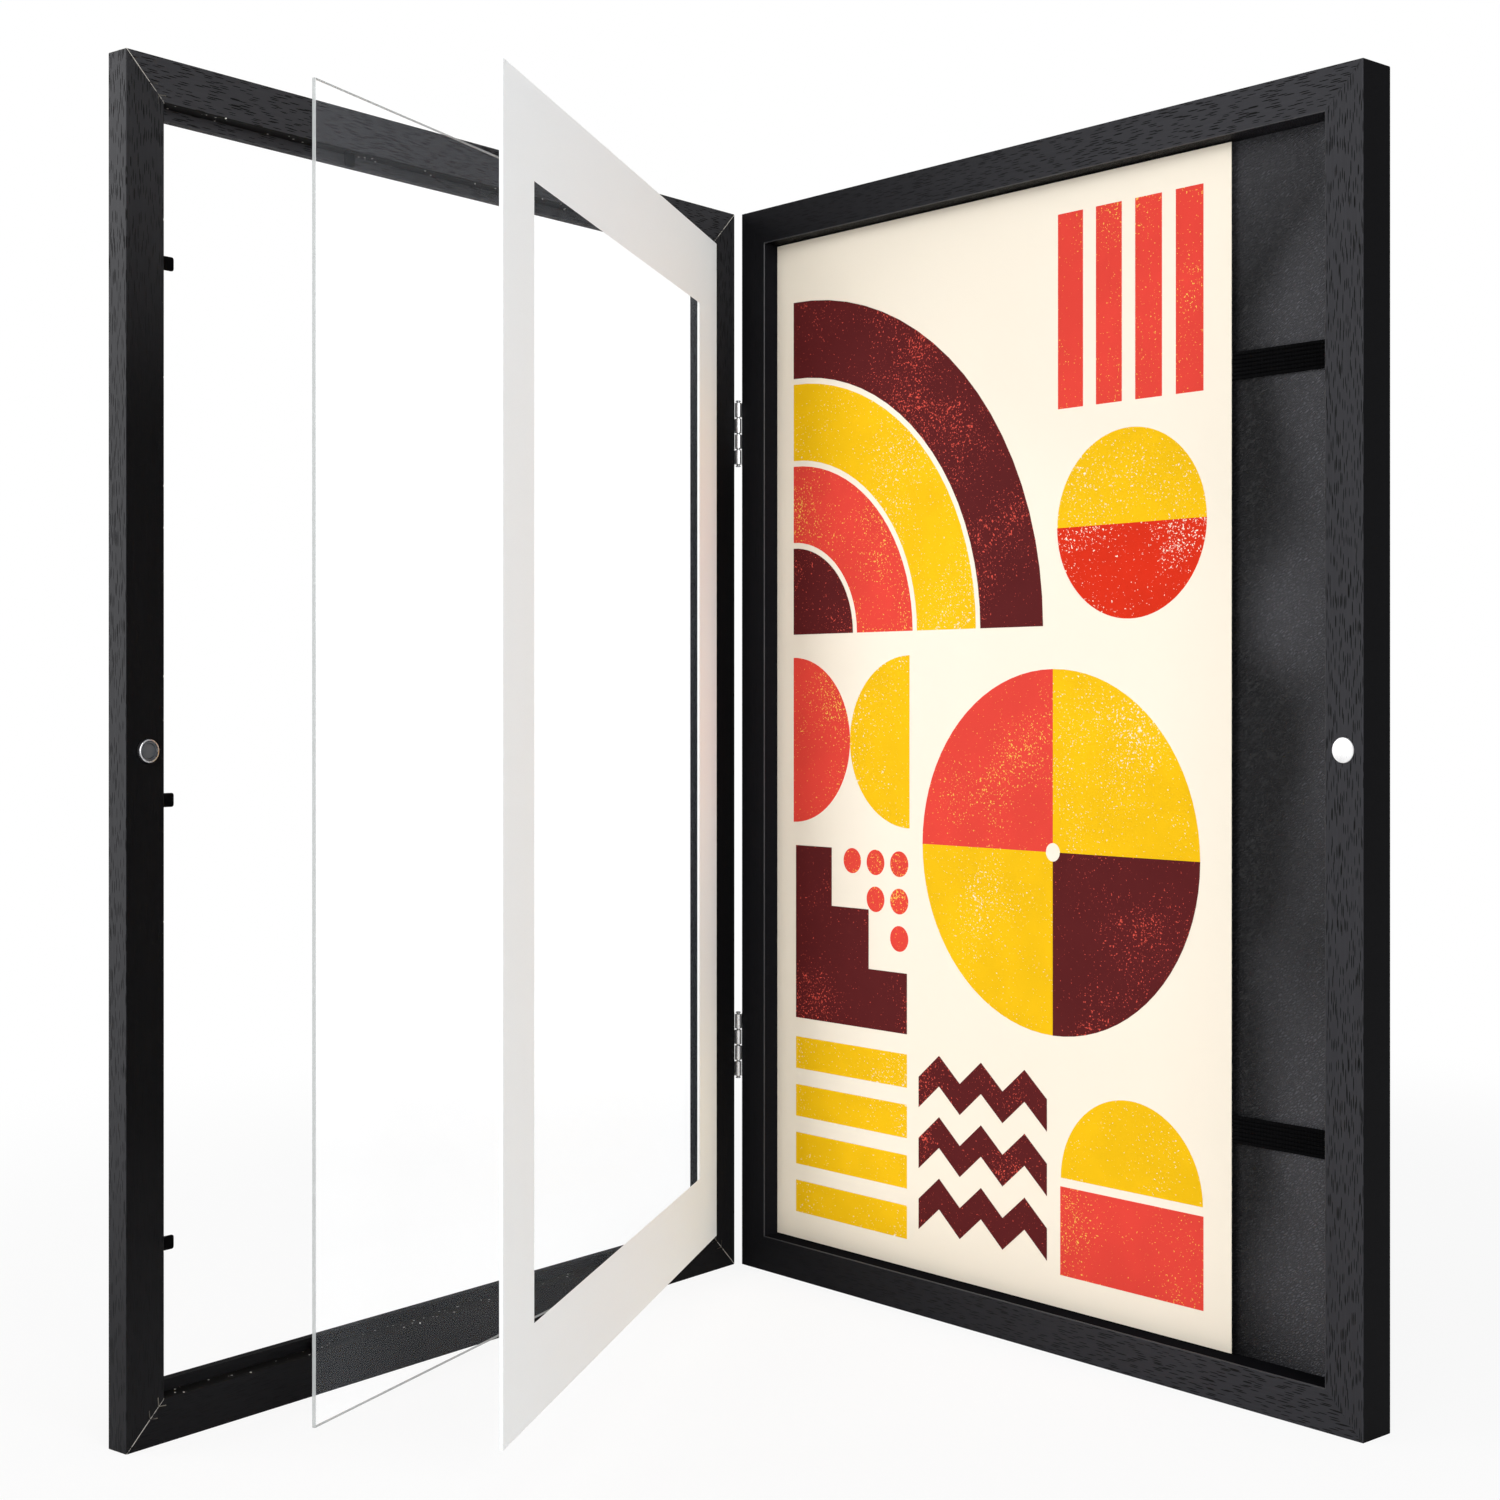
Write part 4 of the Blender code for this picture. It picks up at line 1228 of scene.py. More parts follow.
@dataclass
class MitredFrame:
    """Four mitred members of one half of the frame.

    Their outline's corners are (inset, depth, radius), and depth runs outward, 1 or -1, from the
    place. Faces deeper than grain_depth are smooth, and others deeper than front_depth are the front.
    """

    name: str
    place: Place
    corners: list[Triple]
    outward: float
    tone: Colour
    mitre: Finish
    wall: Finish
    top_wall: Finish
    arris_finish: Finish
    grain_depth: float
    front_depth: float
    # Painted light and shade: each part's shares of the tone at the bottom, middle and top, and the share
    # left at the hinge side
    rail_shares: Shares = EVEN
    stile_shares: Shares = EVEN
    edge_shares: Shares = EVEN
    deep_share: float = 1.0
    mitre_chamfer: float = 0.16 * MM
    mitre_gap: float = 0.04 * MM
    rounding: float = 0.004 * MM
    pockets: dict[Side, Shape] = field(default_factory=dict)

    def band(self, first: Point, second: Point) -> Band:
        """Names the face between two points of the outline.

        Args:
            first: one point, as (inset, depth).
            second: the next point.

        Returns:
            The band, whose value is the face's material number.
        """
        inset = (first[0] + second[0]) / 2
        depth = (first[1] + second[1]) / 2
        from_wall = abs(inset - SIZES.face)
        deepest = max(first[1], second[1])
        if from_wall < SIZES.arris and 0.0 < depth and deepest <= SIZES.arris + self.rounding:
            return Band.ARRIS
        if from_wall < SIZES.arris / 4 and min(first[1], second[1]) < SIZES.door_gap:
            return Band.WALL
        if depth > self.grain_depth:
            return Band.SIDE
        if depth > self.front_depth:
            return Band.FRONT
        return Band.EDGE if max(first[0], second[0]) < self.mitre_chamfer else Band.FACE

    def build_member(self, side: Side) -> Thing:
        """Models one member, its mitred ends slightly chamfered.

        Args:
            side: which member.

        Returns:
            The member.
        """
        profile = rounded(self.corners)
        insets, depths = zip(*profile)
        middle = Vector(((min(insets) + max(insets)) / 2, (min(depths) + max(depths)) / 2))
        half_length = (SIZES.height if side.upright else SIZES.width) / 2
        loops = []
        for end, chamfer in ((-1, 1.0), (-1, 0.0), (1, 0.0), (1, 1.0)):
            drawn = self.mitre_chamfer * chamfer
            short = self.mitre_gap + self.mitre_chamfer * (1.0 - chamfer)
            loop = []
            for inset, depth in profile:
                across, along = Vector((inset, depth)) - middle
                inset_here = inset - math.copysign(min(drawn, abs(across)), across)
                depth_here = depth - math.copysign(min(drawn, abs(along)), along)
                x, z = member_point(side, inset_here, end * (half_length - inset - short))
                loop.append(self.place.at(x, self.outward * depth_here, z))
            loops.append(loop)
        shape = bmesh.new()
        bands = bridge(shape, loops)
        paint(bands[0] + bands[2], Band.MITRE.value)
        for i, face in enumerate(bands[1]):
            face.material_index = self.band(profile[i], profile[(i + 1) % len(profile)]).value
        finishes = {
            Band.FACE: self.wood(side, "face", self.stile_shares if side.upright else self.rail_shares),
            Band.MITRE: self.mitre,
            Band.SIDE: SMOOTH_SIDE,
            Band.EDGE: self.wood(side, "edge", self.edge_shares),
            Band.WALL: self.top_wall if side is Side.TOP else self.wall,
            Band.ARRIS: self.arris_finish,
            Band.FRONT: self.wood(side, "front", EVEN),
        }
        name = f"{self.name}_{side.kind}_{side.value}_wood"
        member = make_piece(name, shape, [finishes[band] for band in Band], smooth_angle=32.0)
        if side in self.pockets:
            self.carve(member, self.pockets[side])
        return member

    def wood(self, side: Side, part: str, shares: Shares) -> OpenGrainWood:
        """Makes the wood of one part of a member.

        Args:
            side: which member.
            part: the part's name.
            shares: its shares of the tone at the bottom, middle and top, which paint light and shade.

        Returns:
            The finish.
        """
        # The highest share sets the tone, so members and parts get lighter and darker copies of the wood as
        # painted light and shade.
        peak = max(shares)
        return OpenGrainWood(
            f"{self.name}_{side.kind}_{part}",
            self.place,
            upright=side.upright,
            tone=dimmed(self.tone, peak),
            deep_share=self.deep_share,
            height_shares=tuple(share / peak for share in shares),
        )

    @staticmethod
    def carve(member: Thing, shape: Shape) -> None:
        """Cuts pockets out of a member.

        Args:
            member: the member.
            shape: the pockets, which are used up.
        """
        cutter = make_piece(f"{member.name}_cutter", shape, [BOARD], None)
        modifier = member.modifiers.new("pockets", "BOOLEAN")
        modifier.operation = "DIFFERENCE"
        modifier.solver = "EXACT"
        modifier.object = cutter
        settle(member)
        bpy.data.objects.remove(cutter, do_unlink=True)

    def build(self) -> None:
        """Models and dresses all four members."""
        for side in Side:
            member = self.build_member(side)
            weighted = member.modifiers.new("even_shading", "WEIGHTED_NORMAL")
            weighted.keep_sharp = True
            settle(member)
            hand_over(member, self.place.body, [f"{self.name}_{side.kind}_{side.value}"])


@dataclass
class CornerNails:
    """V-shaped nails pressed across the mitres of one half, their tops at a distance out."""

    half: str
    place: Place
    out: float
    length: float
    insets: tuple[float, ...]
    leg: float = 3.2 * MM
    thickness: float = 0.32 * MM
    splay: float = math.radians(50.0)

    def unit(self) -> Shape:
        """One nail, its top at zero and its point along +X.

        Returns:
            The nail.
        """
        nose = self.thickness / 2 / math.sin(self.splay)
        outline = [Vector((-nose, 0.0, 0.0))]
        for turn in (1, -1):
            way = Vector((math.cos(turn * self.splay), math.sin(turn * self.splay), 0.0))
            square = Vector((-way.y, way.x, 0.0)) * (turn * self.thickness / 2)
            ends = [way * self.leg + square, way * self.leg - square]
            outline += ends if turn > 0 else [Vector((nose, 0.0, 0.0)), *reversed(ends)]
        shape = bmesh.new()
        bridge(shape, [outline, [point - UP * self.length for point in outline]])
        return shape

    def build(self) -> None:
        """Sets the nails at each corner and inset, as one piece."""
        spots = []
        outward = self.place.way(0.0, 1.0, 0.0)
        for turn in (-1, 1):
            for level in (-1, 1):
                for inset in self.insets:
                    x = SIZES.width / 2 + turn * (SIZES.width / 2 - inset)
                    z = level * (SIZES.height / 2 - inset)
                    heading = self.place.way(-turn, 0.0, -level)
                    spots.append(Spot.aimed(self.place.at(x, self.out, z), outward, heading))
        made = scatter(f"{self.half}_corner_nails", self.unit(), spots, NAIL_WIRE)
        hand_over(made, self.place.body, nodes_named(f"{self.half}_nail_"))


@dataclass
class ElasticStrap:
    """A ribbed elastic band across the lining, each end turned in and stapled."""

    name: str
    thickness: float = 1.3 * MM
    width: float = 10.6 * MM
    foot: float = 4.7 * MM
    bend_share: float = 0.55
    rib_share: float = 0.98
    ribs: int = 7
    sides: int = 10

    def path(self) -> list[Vector]:
        """The middle line of the band, from the tip of one foot to the tip of the other.

        Returns:
            Its points.
        """
        low, high = extent(self.name)
        half = self.thickness / 2
        radius = self.thickness * self.bend_share
        left, right = low.x + half, high.x - half
        front, back = low.y + half, high.y - half
        points = [(low.x + self.foot, back), (left + radius, back)]
        points += self.bend(left + radius, back - radius, radius, 0.5)
        points += self.bend(left + radius, front + radius, radius, 1.0)
        points += self.bend(right - radius, front + radius, radius, 1.5)
        points += self.bend(right - radius, back - radius, radius, 0.0)
        points += [(high.x - self.foot, back)]
        return [Vector((x, y, (low.z + high.z) / 2)) for x, y in points]

    @staticmethod
    def bend(x: float, y: float, radius: float, start: float) -> list[Point]:
        """A quarter turn of the path, from a start given in half turns."""
        angles = [math.pi * (start + k / 8) for k in range(5)]
        return [(x + radius * math.cos(angle), y + radius * math.sin(angle)) for angle in angles]

    def build(self) -> None:
        """Sweeps the ribs along the band's path with a Geometry Nodes tree."""
        path = self.path()
        mesh = bpy.data.meshes.new(f"{self.name}_band")
        mesh.from_pydata(path, [(i, i + 1) for i in range(len(path) - 1)], [])
        made = add_thing(f"{self.name}_band", mesh)
        pitch = self.width / self.ribs
        tree = GeometryTree(
            f"{self.name}_ribs",
            Ribs=("Int", self.ribs),
            Pitch=("Float", pitch),
            Rib_Width=("Float", pitch * self.rib_share),
            Rib_Height=("Float", self.thickness),
            Finish=("Material", ELASTIC.build()),
        )
        nodes = tree.nodes
        curve = nodes.add("GeometryNodeMeshToCurve", {0: tree.input("Geometry")}).outputs[0]
        ring = {"Resolution": self.sides, "Radius": 0.5}
        oval = {
            "Geometry": nodes.add("GeometryNodeCurvePrimitiveCircle", ring).outputs[0],
            "Scale": nodes.join(tree.input("Rib Height"), tree.input("Rib Width"), 1.0),
        }
        profile = nodes.add("GeometryNodeTransform", oval).outputs[0]
        sweep = {"Curve": curve, "Profile Curve": profile, "Fill Caps": True}
        rib = nodes.add("GeometryNodeCurveToMesh", sweep).outputs[0]
        gaps = nodes.math("SUBTRACT", tree.input("Ribs"), 1.0)
        lowest = nodes.math("MULTIPLY", nodes.math("MULTIPLY", gaps, tree.input("Pitch")), -0.5)
        line = {
            "Count": tree.input("Ribs"),
            "Start Location": nodes.join(0.0, 0.0, lowest),
            "Offset": nodes.join(0.0, 0.0, tree.input("Pitch")),
        }
        row = nodes.add("GeometryNodeMeshLine", line, mode="OFFSET").outputs[0]
        copies = nodes.add("GeometryNodeInstanceOnPoints", {"Points": row, "Instance": rib}).outputs[0]
        tree.run(made, copies).data.shade_smooth()
        hand_over(made, "box", [self.name])


@dataclass
class Hinge:
    """One barrel hinge: two leaves on the side faces, their knuckles and a headed pin.

    Each half is a place, and the way, 1 or -1, that its leaf lies from the gap.
    """

    label: str
    halves: Sequence[tuple[Place, float]]
    height: float = 29.4 * MM
    knuckles: int = 4
    knuckle_gap: float = 0.6 * MM
    knuckle_chamfer: float = 0.18 * MM
    barrel: float = 1.5 * MM
    barrel_steps: int = 28
    bore: float = 1.0 * MM
    pin: float = 0.7 * MM
    pin_head: float = 1.2 * MM
    pin_cap: float = 0.5 * MM
    pin_steps: int = 24
    cap_rise_share: float = 0.6
    cap_top_share: float = 0.7
    leaf: float = 0.6 * MM
    leaf_start: float = 0.7 * MM
    leaf_length: float = 7.8 * MM
    leaf_corner: float = 1.2 * MM
    leaf_chamfer: float = 0.12 * MM
    curl_gap: float = 0.05 * MM
    curl_overlap: float = 0.4 * MM
    screw_pitch: float = 16.0 * MM
    screw_proud: float = 0.08 * MM
    screw_turn: float = 0.4
    screw_turn_spread: float = 0.5

    @property
    def middle(self) -> float:
        """Height of the hinge's middle."""
        low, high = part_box(f"hinge_{self.label}_pin")
        return (low[2] + high[2]) / 2

    def knuckle(self, shape: Shape, place: Place, outward: float, index: int) -> None:
        """Adds one knuckle: a tube with chamfered ends, and the curl that joins it to the leaf.

        Args:
            shape: the mesh to add to.
            place: this half's place.
            outward: the way its leaf lies.
            index: its number, from the top.
        """
        pitch = self.height / self.knuckles
        top = self.middle + self.height / 2 - index * pitch - self.knuckle_gap / 2
        low = top - pitch + self.knuckle_gap
        centre = place.at(-SIZES.axis_out, -outward * SIZES.door_gap / 2, low)
        cut = self.knuckle_chamfer
        profile = [
            (cut, self.barrel),
            (top - low - cut, self.barrel),
            (top - low, self.barrel - cut),
            (top - low, self.bore),
            (0.0, self.bore),
            (0.0, self.barrel - cut),
        ]
        across = Vector((1.0, 0.0, 0.0))
        loops = []
        for far, radius in profile:
            loops.append(circle(centre + UP * far, across, REARWARD, radius, self.barrel_steps))
        bridge(shape, loops, closed=True)
        inner = -SIZES.joint_gap
        outer = inner - self.leaf
        start = -SIZES.door_gap / 2 + self.bore + self.curl_gap
        end = self.leaf_start + self.curl_overlap
        curl = [(outer, start), (inner, start), (inner, end), (outer, end)]
        ends = (low + cut, top - cut)
        bridge(shape, [[place.at(x, outward * depth, z) for x, depth in curl] for z in ends])

    def plate(self, shape: Shape, place: Place, outward: float) -> None:
        """Adds the leaf, a plate with rounded free corners and a chamfered outer face.

        Args:
            shape: the mesh to add to.
            place: this half's place.
            outward: the way its leaf lies.
        """
        end = self.leaf_start + self.leaf_length
        inner = -SIZES.joint_gap
        outer = inner - self.leaf
        slab(
            shape,
            tongue(self.leaf_start, end, self.height / 2, self.leaf_corner),
            ((inner, 0.0), (outer + self.leaf_chamfer, 0.0), (outer, self.leaf_chamfer)),
            lambda depth, z, x: place.at(x, outward * depth, self.middle + z),
            (self.leaf_start + end) / 2,
        )

    def screw_spots(self, place: Place, outward: float) -> list[Spot]:
        """Where this leaf's two screws go.

        Args:
            place: this half's place.
            outward: the way its leaf lies.

        Returns:
            A spot for each.
        """
        away = place.way(-1.0, 0.0, 0.0)
        depth = outward * (self.leaf_start + self.leaf_length / 2)
        x = -SIZES.joint_gap - self.leaf - self.screw_proud
        spots = []
        for turn in (1, -1):
            z = self.middle + turn * self.screw_pitch / 2
            spin = self.screw_turn + turn * self.screw_turn_spread
            spots.append(Spot(place.at(x, depth, z), away, spin))
        return spots

    def build(self) -> None:
        """Models the two leaves, whose knuckles take turns, and the pin."""
        for first, (place, outward) in enumerate(self.halves):
            shape = bmesh.new()
            self.plate(shape, place, outward)
            for index in range(first, self.knuckles, 2):
                self.knuckle(shape, place, outward, index)
            name = f"hinge_{self.label}_{place.body}_leaf"
            hand_over(make_piece(f"{name}_bright", shape, [ZINC]), place.body, [name])
        box_place = self.halves[0][0]
        half = self.height / 2 + SIZES.joint_gap
        upper = [
            (half, self.pin),
            (half, self.pin_head),
            (half + self.pin_cap * self.cap_rise_share, self.pin_head),
            (half + self.pin_cap, self.pin_head * self.cap_top_share),
        ]
        lower = [(-far, radius) for far, radius in reversed(upper)]
        centre = box_place.at(-SIZES.axis_out, -SIZES.door_gap / 2, self.middle)
        shape = bmesh.new()
        turned(shape, centre, UP, lower + upper, self.pin_steps)
        name = f"hinge_{self.label}_pin"
        # The pin takes the darker steel, which also stands for the shade in the gaps between the knuckles.
        hand_over(make_piece(f"{name}_bright", shape, [DULL_STEEL]), "box", [name])


@dataclass
class Latch:
    """The magnet let into the box's stile and the striker that stands on the door's."""

    box_place: Place
    door_place: Place
    inset: float = 8.4 * MM
    steps: int = 48
    magnet: float = 4.6 * MM
    magnet_thickness: float = 3.0 * MM
    magnet_edge: float = 0.25 * MM
    magnet_edge_share: float = 0.3
    pocket_steps: int = 40
    pocket_play: float = 0.15 * MM
    pocket_start: float = -2.0 * MM
    striker: float = 4.2 * MM
    striker_edge: Pair = (0.35 * MM, 0.45 * MM)
    edge_cut: float = 0.12 * MM
    stand: float = 0.3 * MM
    shank: float = 1.0 * MM
    shank_depth: float = 6.0 * MM
    rim: float = 0.6 * MM
    dish: float = 0.7 * MM
    dish_centre: float = 0.17 * MM
    # Each step of the dish: its share of the dish's depth, and how far it lies inside the rim
    dish_steps: tuple[Pair, ...] = (
        (0.5, 0.15 * MM),
        (0.5, 0.4 * MM),
        (0.3, 0.5 * MM),
        (0.3, 0.75 * MM),
        (1.0, 1.0 * MM),
    )

    def pocket(self) -> Shape:
        """The magnet's pocket, to be cut out of the latch stile.

        Returns:
            The pocket.
        """
        shape = bmesh.new()
        start = self.box_place.at(SIZES.width - self.inset, self.pocket_start, 0.0)
        deep = self.magnet_thickness + SIZES.joint_gap - self.pocket_start
        radius = self.magnet + self.pocket_play
        turned(shape, start, REARWARD, [(0.0, radius), (deep, radius)], self.pocket_steps)
        return shape

    def disc(self) -> None:
        """Models the plated magnet."""
        shape = bmesh.new()
        edge = self.magnet_edge
        cut = edge * self.magnet_edge_share
        profile = [
            (0.0, self.magnet - edge),
            (cut, self.magnet - cut),
            (edge, self.magnet),
            (self.magnet_thickness, self.magnet),
        ]
        centre = self.box_place.at(SIZES.width - self.inset, 0.0, 0.0)
        turned(shape, centre, REARWARD, profile, self.steps)
        hand_over(make_piece("magnet_disc", shape, [NICKEL]), "box", ["latch_magnet"])

    def head(self) -> None:
        """Models the steel striker, with a stepped dish inside its rim."""
        shape = bmesh.new()
        high = SIZES.door_gap - SIZES.joint_gap
        inner = self.striker - self.rim
        edge_width, edge_height = self.striker_edge
        profile = [
            (-self.shank_depth, self.shank),
            (self.stand, self.shank),
            (self.stand, self.striker),
            (high - edge_height, self.striker),
            (high - self.edge_cut, self.striker - self.edge_cut),
            (high, self.striker - edge_width),
            (high, inner),
            *((high - self.dish * share, inner - drawn) for share, drawn in self.dish_steps),
            (high - self.dish, self.dish_centre),
        ]
        root = self.door_place.at(SIZES.width - self.inset, 0.0, 0.0)
        turned(shape, root, self.door_place.way(0.0, 1.0, 0.0), profile, self.steps)
        centre = self.door_place.at(SIZES.width - self.inset, high, 0.0)
        for face in shape.faces:
            if all((vert.co - centre).length < inner for vert in face.verts):
                face.material_index = 1
        piece = make_piece("striker_head", shape, [STEEL, DISHED_STEEL])
        hand_over(piece, "door", ["latch_striker"])


@dataclass
class RetainingTabs:
    """Flexible black tabs that hold the sheets in the door's rebate."""

    place: Place
    width: float = 5.0 * MM
    thickness: float = 0.7 * MM
    reach: float = 5.6 * MM
    full_reach: float = 7.2 * MM
    bite: float = 4.5 * MM
    corner: float = 0.9 * MM
    chamfer: float = 0.1 * MM
    bent_back: float = math.radians(26.0)

    def unit(self) -> Shape:
        """One tab along +X from its root in the wood: a strip with a rounded tip.

        Returns:
            The tab.
        """
        shape = bmesh.new()
        slab(
            shape,
            tongue(-self.bite, self.reach, self.width / 2, self.corner, 4),
            ((-0.5, self.chamfer), (-0.3, 0.0), (0.3, 0.0), (0.5, self.chamfer)),
            lambda x, y, level: Vector((x, y, level * self.thickness)),
        )
        return shape

    def build(self) -> None:
        """Sets a tab at each of the CAD tabs' places, bent back where the pane turns under it."""
        spots = []
        names = sorted(nodes_named("tab_"))
        for name in names:
            side = Side(name.split("_")[1])
            low, high = extent(name)
            across, up = side.inward
            root = (low + high) / 2 - self.place.way(across, 0.0, up) * (self.full_reach - self.bite) / 2
            bend = self.bent_back if side is Side.HINGE else 0.0
            cosine, sine = math.cos(bend), math.sin(bend)
            heading = self.place.way(across * cosine, sine, up * cosine)
            axis = self.place.way(-across * sine, cosine, -up * sine)
            spots.append(Spot.aimed(root, axis, heading))
        hand_over(scatter("retaining_tabs", self.unit(), spots, TAB_COAT), "door", names)


@dataclass
class Pane:
    """The clear sheet, with its polished edges as a material of their own."""

    place: Place
    thickness: float = 1.5 * MM
    chamfer: float = 0.15 * MM

    def build(self) -> None:
        """Models a thin slab with chamfered edges."""
        width = SIZES.sheet_width
        half = SIZES.sheet_height / 2
        face = self.thickness / 2
        arris = face - self.chamfer
        shape = bmesh.new()
        bands = slab(
            shape,
            [(0.0, -half), (width, -half), (width, half), (0.0, half)],
            ((-face, self.chamfer), (-arris, 0.0), (arris, 0.0), (face, self.chamfer)),
            lambda x, z, out: self.place.at(x, out, z),
            width / 2,
        )
        for band in bands[:-1]:
            paint(band, 1)
        finishes = [ClearSheet("clear_sheet_face", self.place), SawnEdge("clear_sheet_edge")]
        piece = make_piece("clear_sheet", shape, finishes, None)
        hand_over(piece, self.place.body, ["clear_pane"])


@dataclass
class Mat:
    """The window mat, cut from pale card with a bevelled window that shows its core."""

    place: Place
    start: float = 10.85 * MM
    back: float = -0.45 * MM
    thickness: float = 1.4 * MM
    border: float = 33.0 * MM
    facing: float = 0.25 * MM
    bevel_shares: tuple[float, ...] = (0.0, 0.15, 0.85, 1.0)

    def ring(self, inset: float, out: float) -> list[Vector]:
        """A rectangle inset from the sheet's edge, at a distance out from the axis.

        Args:
            inset: its distance from the edge.
            out: its distance out.

        Returns:
            Its corners.
        """
        half = SIZES.sheet_height / 2 - inset
        low, high = self.start + inset, self.start + SIZES.sheet_width - inset
        return [self.place.at(x, out, z) for x, z in ((low, -half), (high, -half), (high, half), (low, half))]

    def build(self) -> None:
        """Models the facing papers and the core between them as bands of one mesh."""
        front = self.back - self.thickness
        rings = [self.ring(0.0, self.back)]
        for share in self.bevel_shares:
            rings.append(self.ring(self.border - self.thickness * share, self.back - self.thickness * share))
        for out in (front, front + self.facing, self.back - self.facing):
            rings.append(self.ring(0.0, out))
        shape = bmesh.new()
        bands = bridge(shape, rings, closed=True)
        # The core shows between the two papers, on the bevel and on the outer edge.
        paint(bands[2] + bands[6], 1)
        piece = make_piece("window_mat", shape, [CARD_FACE, CARD_CORE], None)
        hand_over(piece, self.place.body, ["mat_board"])


@dataclass
class Print:
    """A sheet of warm paper with a generic design of plain shapes in three worn inks."""

    margin: float = 9.0 * MM
    columns: int = 3
    rows: int = 5
    layer: float = 0.035 * MM
    arc_steps: int = 40
    least_steps: int = 6
    # The radius of a full disc, as a share of the tile's width
    disc_share: float = 0.47
    # A shape keeps this share of its tile free at each edge
    edge_share: float = 0.05
    # Where a bar starts and ends, as shares of its pitch
    bar_shares: Pair = (0.14, 0.8)
    # A dot's radius as a share of the tile's width, and a row's pitch as a share of a step's
    dot_share: float = 0.07
    dot_pitch_share: float = 0.62
    dot_start_share: float = 0.32
    # A zigzag's start and end, its bands and its teeth, as shares of the tile
    zigzag_edge_share: float = 0.04
    band_start_share: float = 0.1
    band_pitch_share: float = 0.3
    band_share: float = 0.15
    tooth_share: float = 0.12
    shapes: dict[Ink, Shape] = field(default_factory=dict)

    def __post_init__(self) -> None:
        """Takes the sheet's place and size from the frame."""
        self.low, high = extent("art_print")
        self.shapes = {ink: bmesh.new() for ink in Ink}
        self.tile_width = (high.x - self.low.x - 2 * self.margin) / self.columns
        self.tile_height = (high.z - self.low.z - 2 * self.margin) / self.rows

    def stamp(self, ink: Ink, outline: Sequence[Point]) -> None:
        """Lays one inked outline on the paper, each ink a little thicker than the one before.

        Args:
            ink: its ink.
            outline: its points, in metres from the sheet's lower hinge-side corner.
        """
        lift = (list(Ink).index(ink) + 1) * self.layer
        loops = [[self.low + Vector((x, -out, z)) for x, z in outline] for out in (0.0, lift)]
        bridge(self.shapes[ink], loops)

    def sector(self, ink: Ink, centre: Point, inner: float, outer: float, start: float, end: float) -> None:
        """Lays a disc, a ring or a part of one.

        Args:
            ink: its ink.
            centre: its centre on the sheet.
            inner: its inner radius, or zero.
            outer: its outer radius.
            start: where it starts, in quarter turns from the right.
            end: where it ends.
        """
        steps = max(self.least_steps, round(self.arc_steps * (end - start) / 4) * 2)
        turns = [math.pi / 2 * (start + (end - start) * k / steps) for k in range(steps + 1)]
        outline = self.arc(centre, outer, turns)
        if inner:
            outline += self.arc(centre, inner, turns[::-1])
        elif end - start < 4:
            outline.append(centre)
        else:
            outline.pop()
        self.stamp(ink, outline)

    @staticmethod
    def arc(centre: Point, radius: float, turns: Sequence[float]) -> list[Point]:
        """Points on an arc, at each of some angles."""
        return [(centre[0] + radius * math.cos(turn), centre[1] + radius * math.sin(turn)) for turn in turns]

    def tile(self, column: int, row: int, x: float, z: float) -> Point:
        """A point of a tile, in shares of its width and height, rows counted from the top.

        Args:
            column: the tile's column.
            row: its row, from the top.
            x: share of its width.
            z: share of its height.

        Returns:
            The point on the sheet.
        """
        left = self.margin + column * self.tile_width
        low = self.margin + (self.rows - 1 - row) * self.tile_height
        return left + x * self.tile_width, low + z * self.tile_height

    def polygon(self, ink: Ink, column: int, row: int, shares: Sequence[Point]) -> None:
        """Lays a polygon given in shares of one tile."""
        self.stamp(ink, [self.tile(column, row, x, z) for x, z in shares])

    def bar(self, ink: Ink, column: int, row: int, low: Point, high: Point) -> None:
        """Lays a rectangle between two corners given in shares of one tile."""
        (x0, z0), (x1, z1) = low, high
        self.polygon(ink, column, row, [(x0, z0), (x1, z0), (x1, z1), (x0, z1)])

    def stripes(self, ink: Ink, column: int, row: int, count: int, upright: bool) -> None:
        """Lays even bars across a tile.

        Args:
            ink: its ink.
            column: the tile's column.
            row: its row, from the top.
            count: how many.
            upright: whether they stand.
        """
        start, end = self.edge_share, 1 - self.edge_share
        for i in range(count):
            low, high = ((i + share) / count for share in self.bar_shares)
            if upright:
                self.bar(ink, column, row, (low, start), (high, end))
            else:
                self.bar(ink, column, row, (start, low), (end, high))

    def steps(self, ink: Ink, column: int, row: int, count: int) -> None:
        """Lays a flight of steps that goes down to the right.

        Args:
            ink: its ink.
            column: the tile's column.
            row: its row, from the top.
            count: how many.
        """
        start, end = self.edge_share, 1 - self.edge_share
        rise = (end - start) / count
        shares = [(start, start), (end, start)]
        for i in range(count):
            top = start + rise * (i + 1)
            shares += [(end - rise * i, top), (end - rise * (i + 1), top)]
        self.polygon(ink, column, row, shares)

    def dots(self, ink: Ink, column: int, row: int, count: int) -> None:
        """Lays dots over the empty half of a stepped tile.

        Args:
            ink: its ink.
            column: the tile's column.
            row: its row, from the top.
            count: how many steps it has.
        """
        end = 1 - self.edge_share
        pitch = (end - self.edge_share) / count * self.dot_pitch_share
        for i in range(count):
            for j in range(count - i):
                x, z = (end - pitch * (k + self.dot_start_share) for k in (i, j))
                self.sector(ink, self.tile(column, row, x, z), 0.0, self.tile_width * self.dot_share, 0, 4)

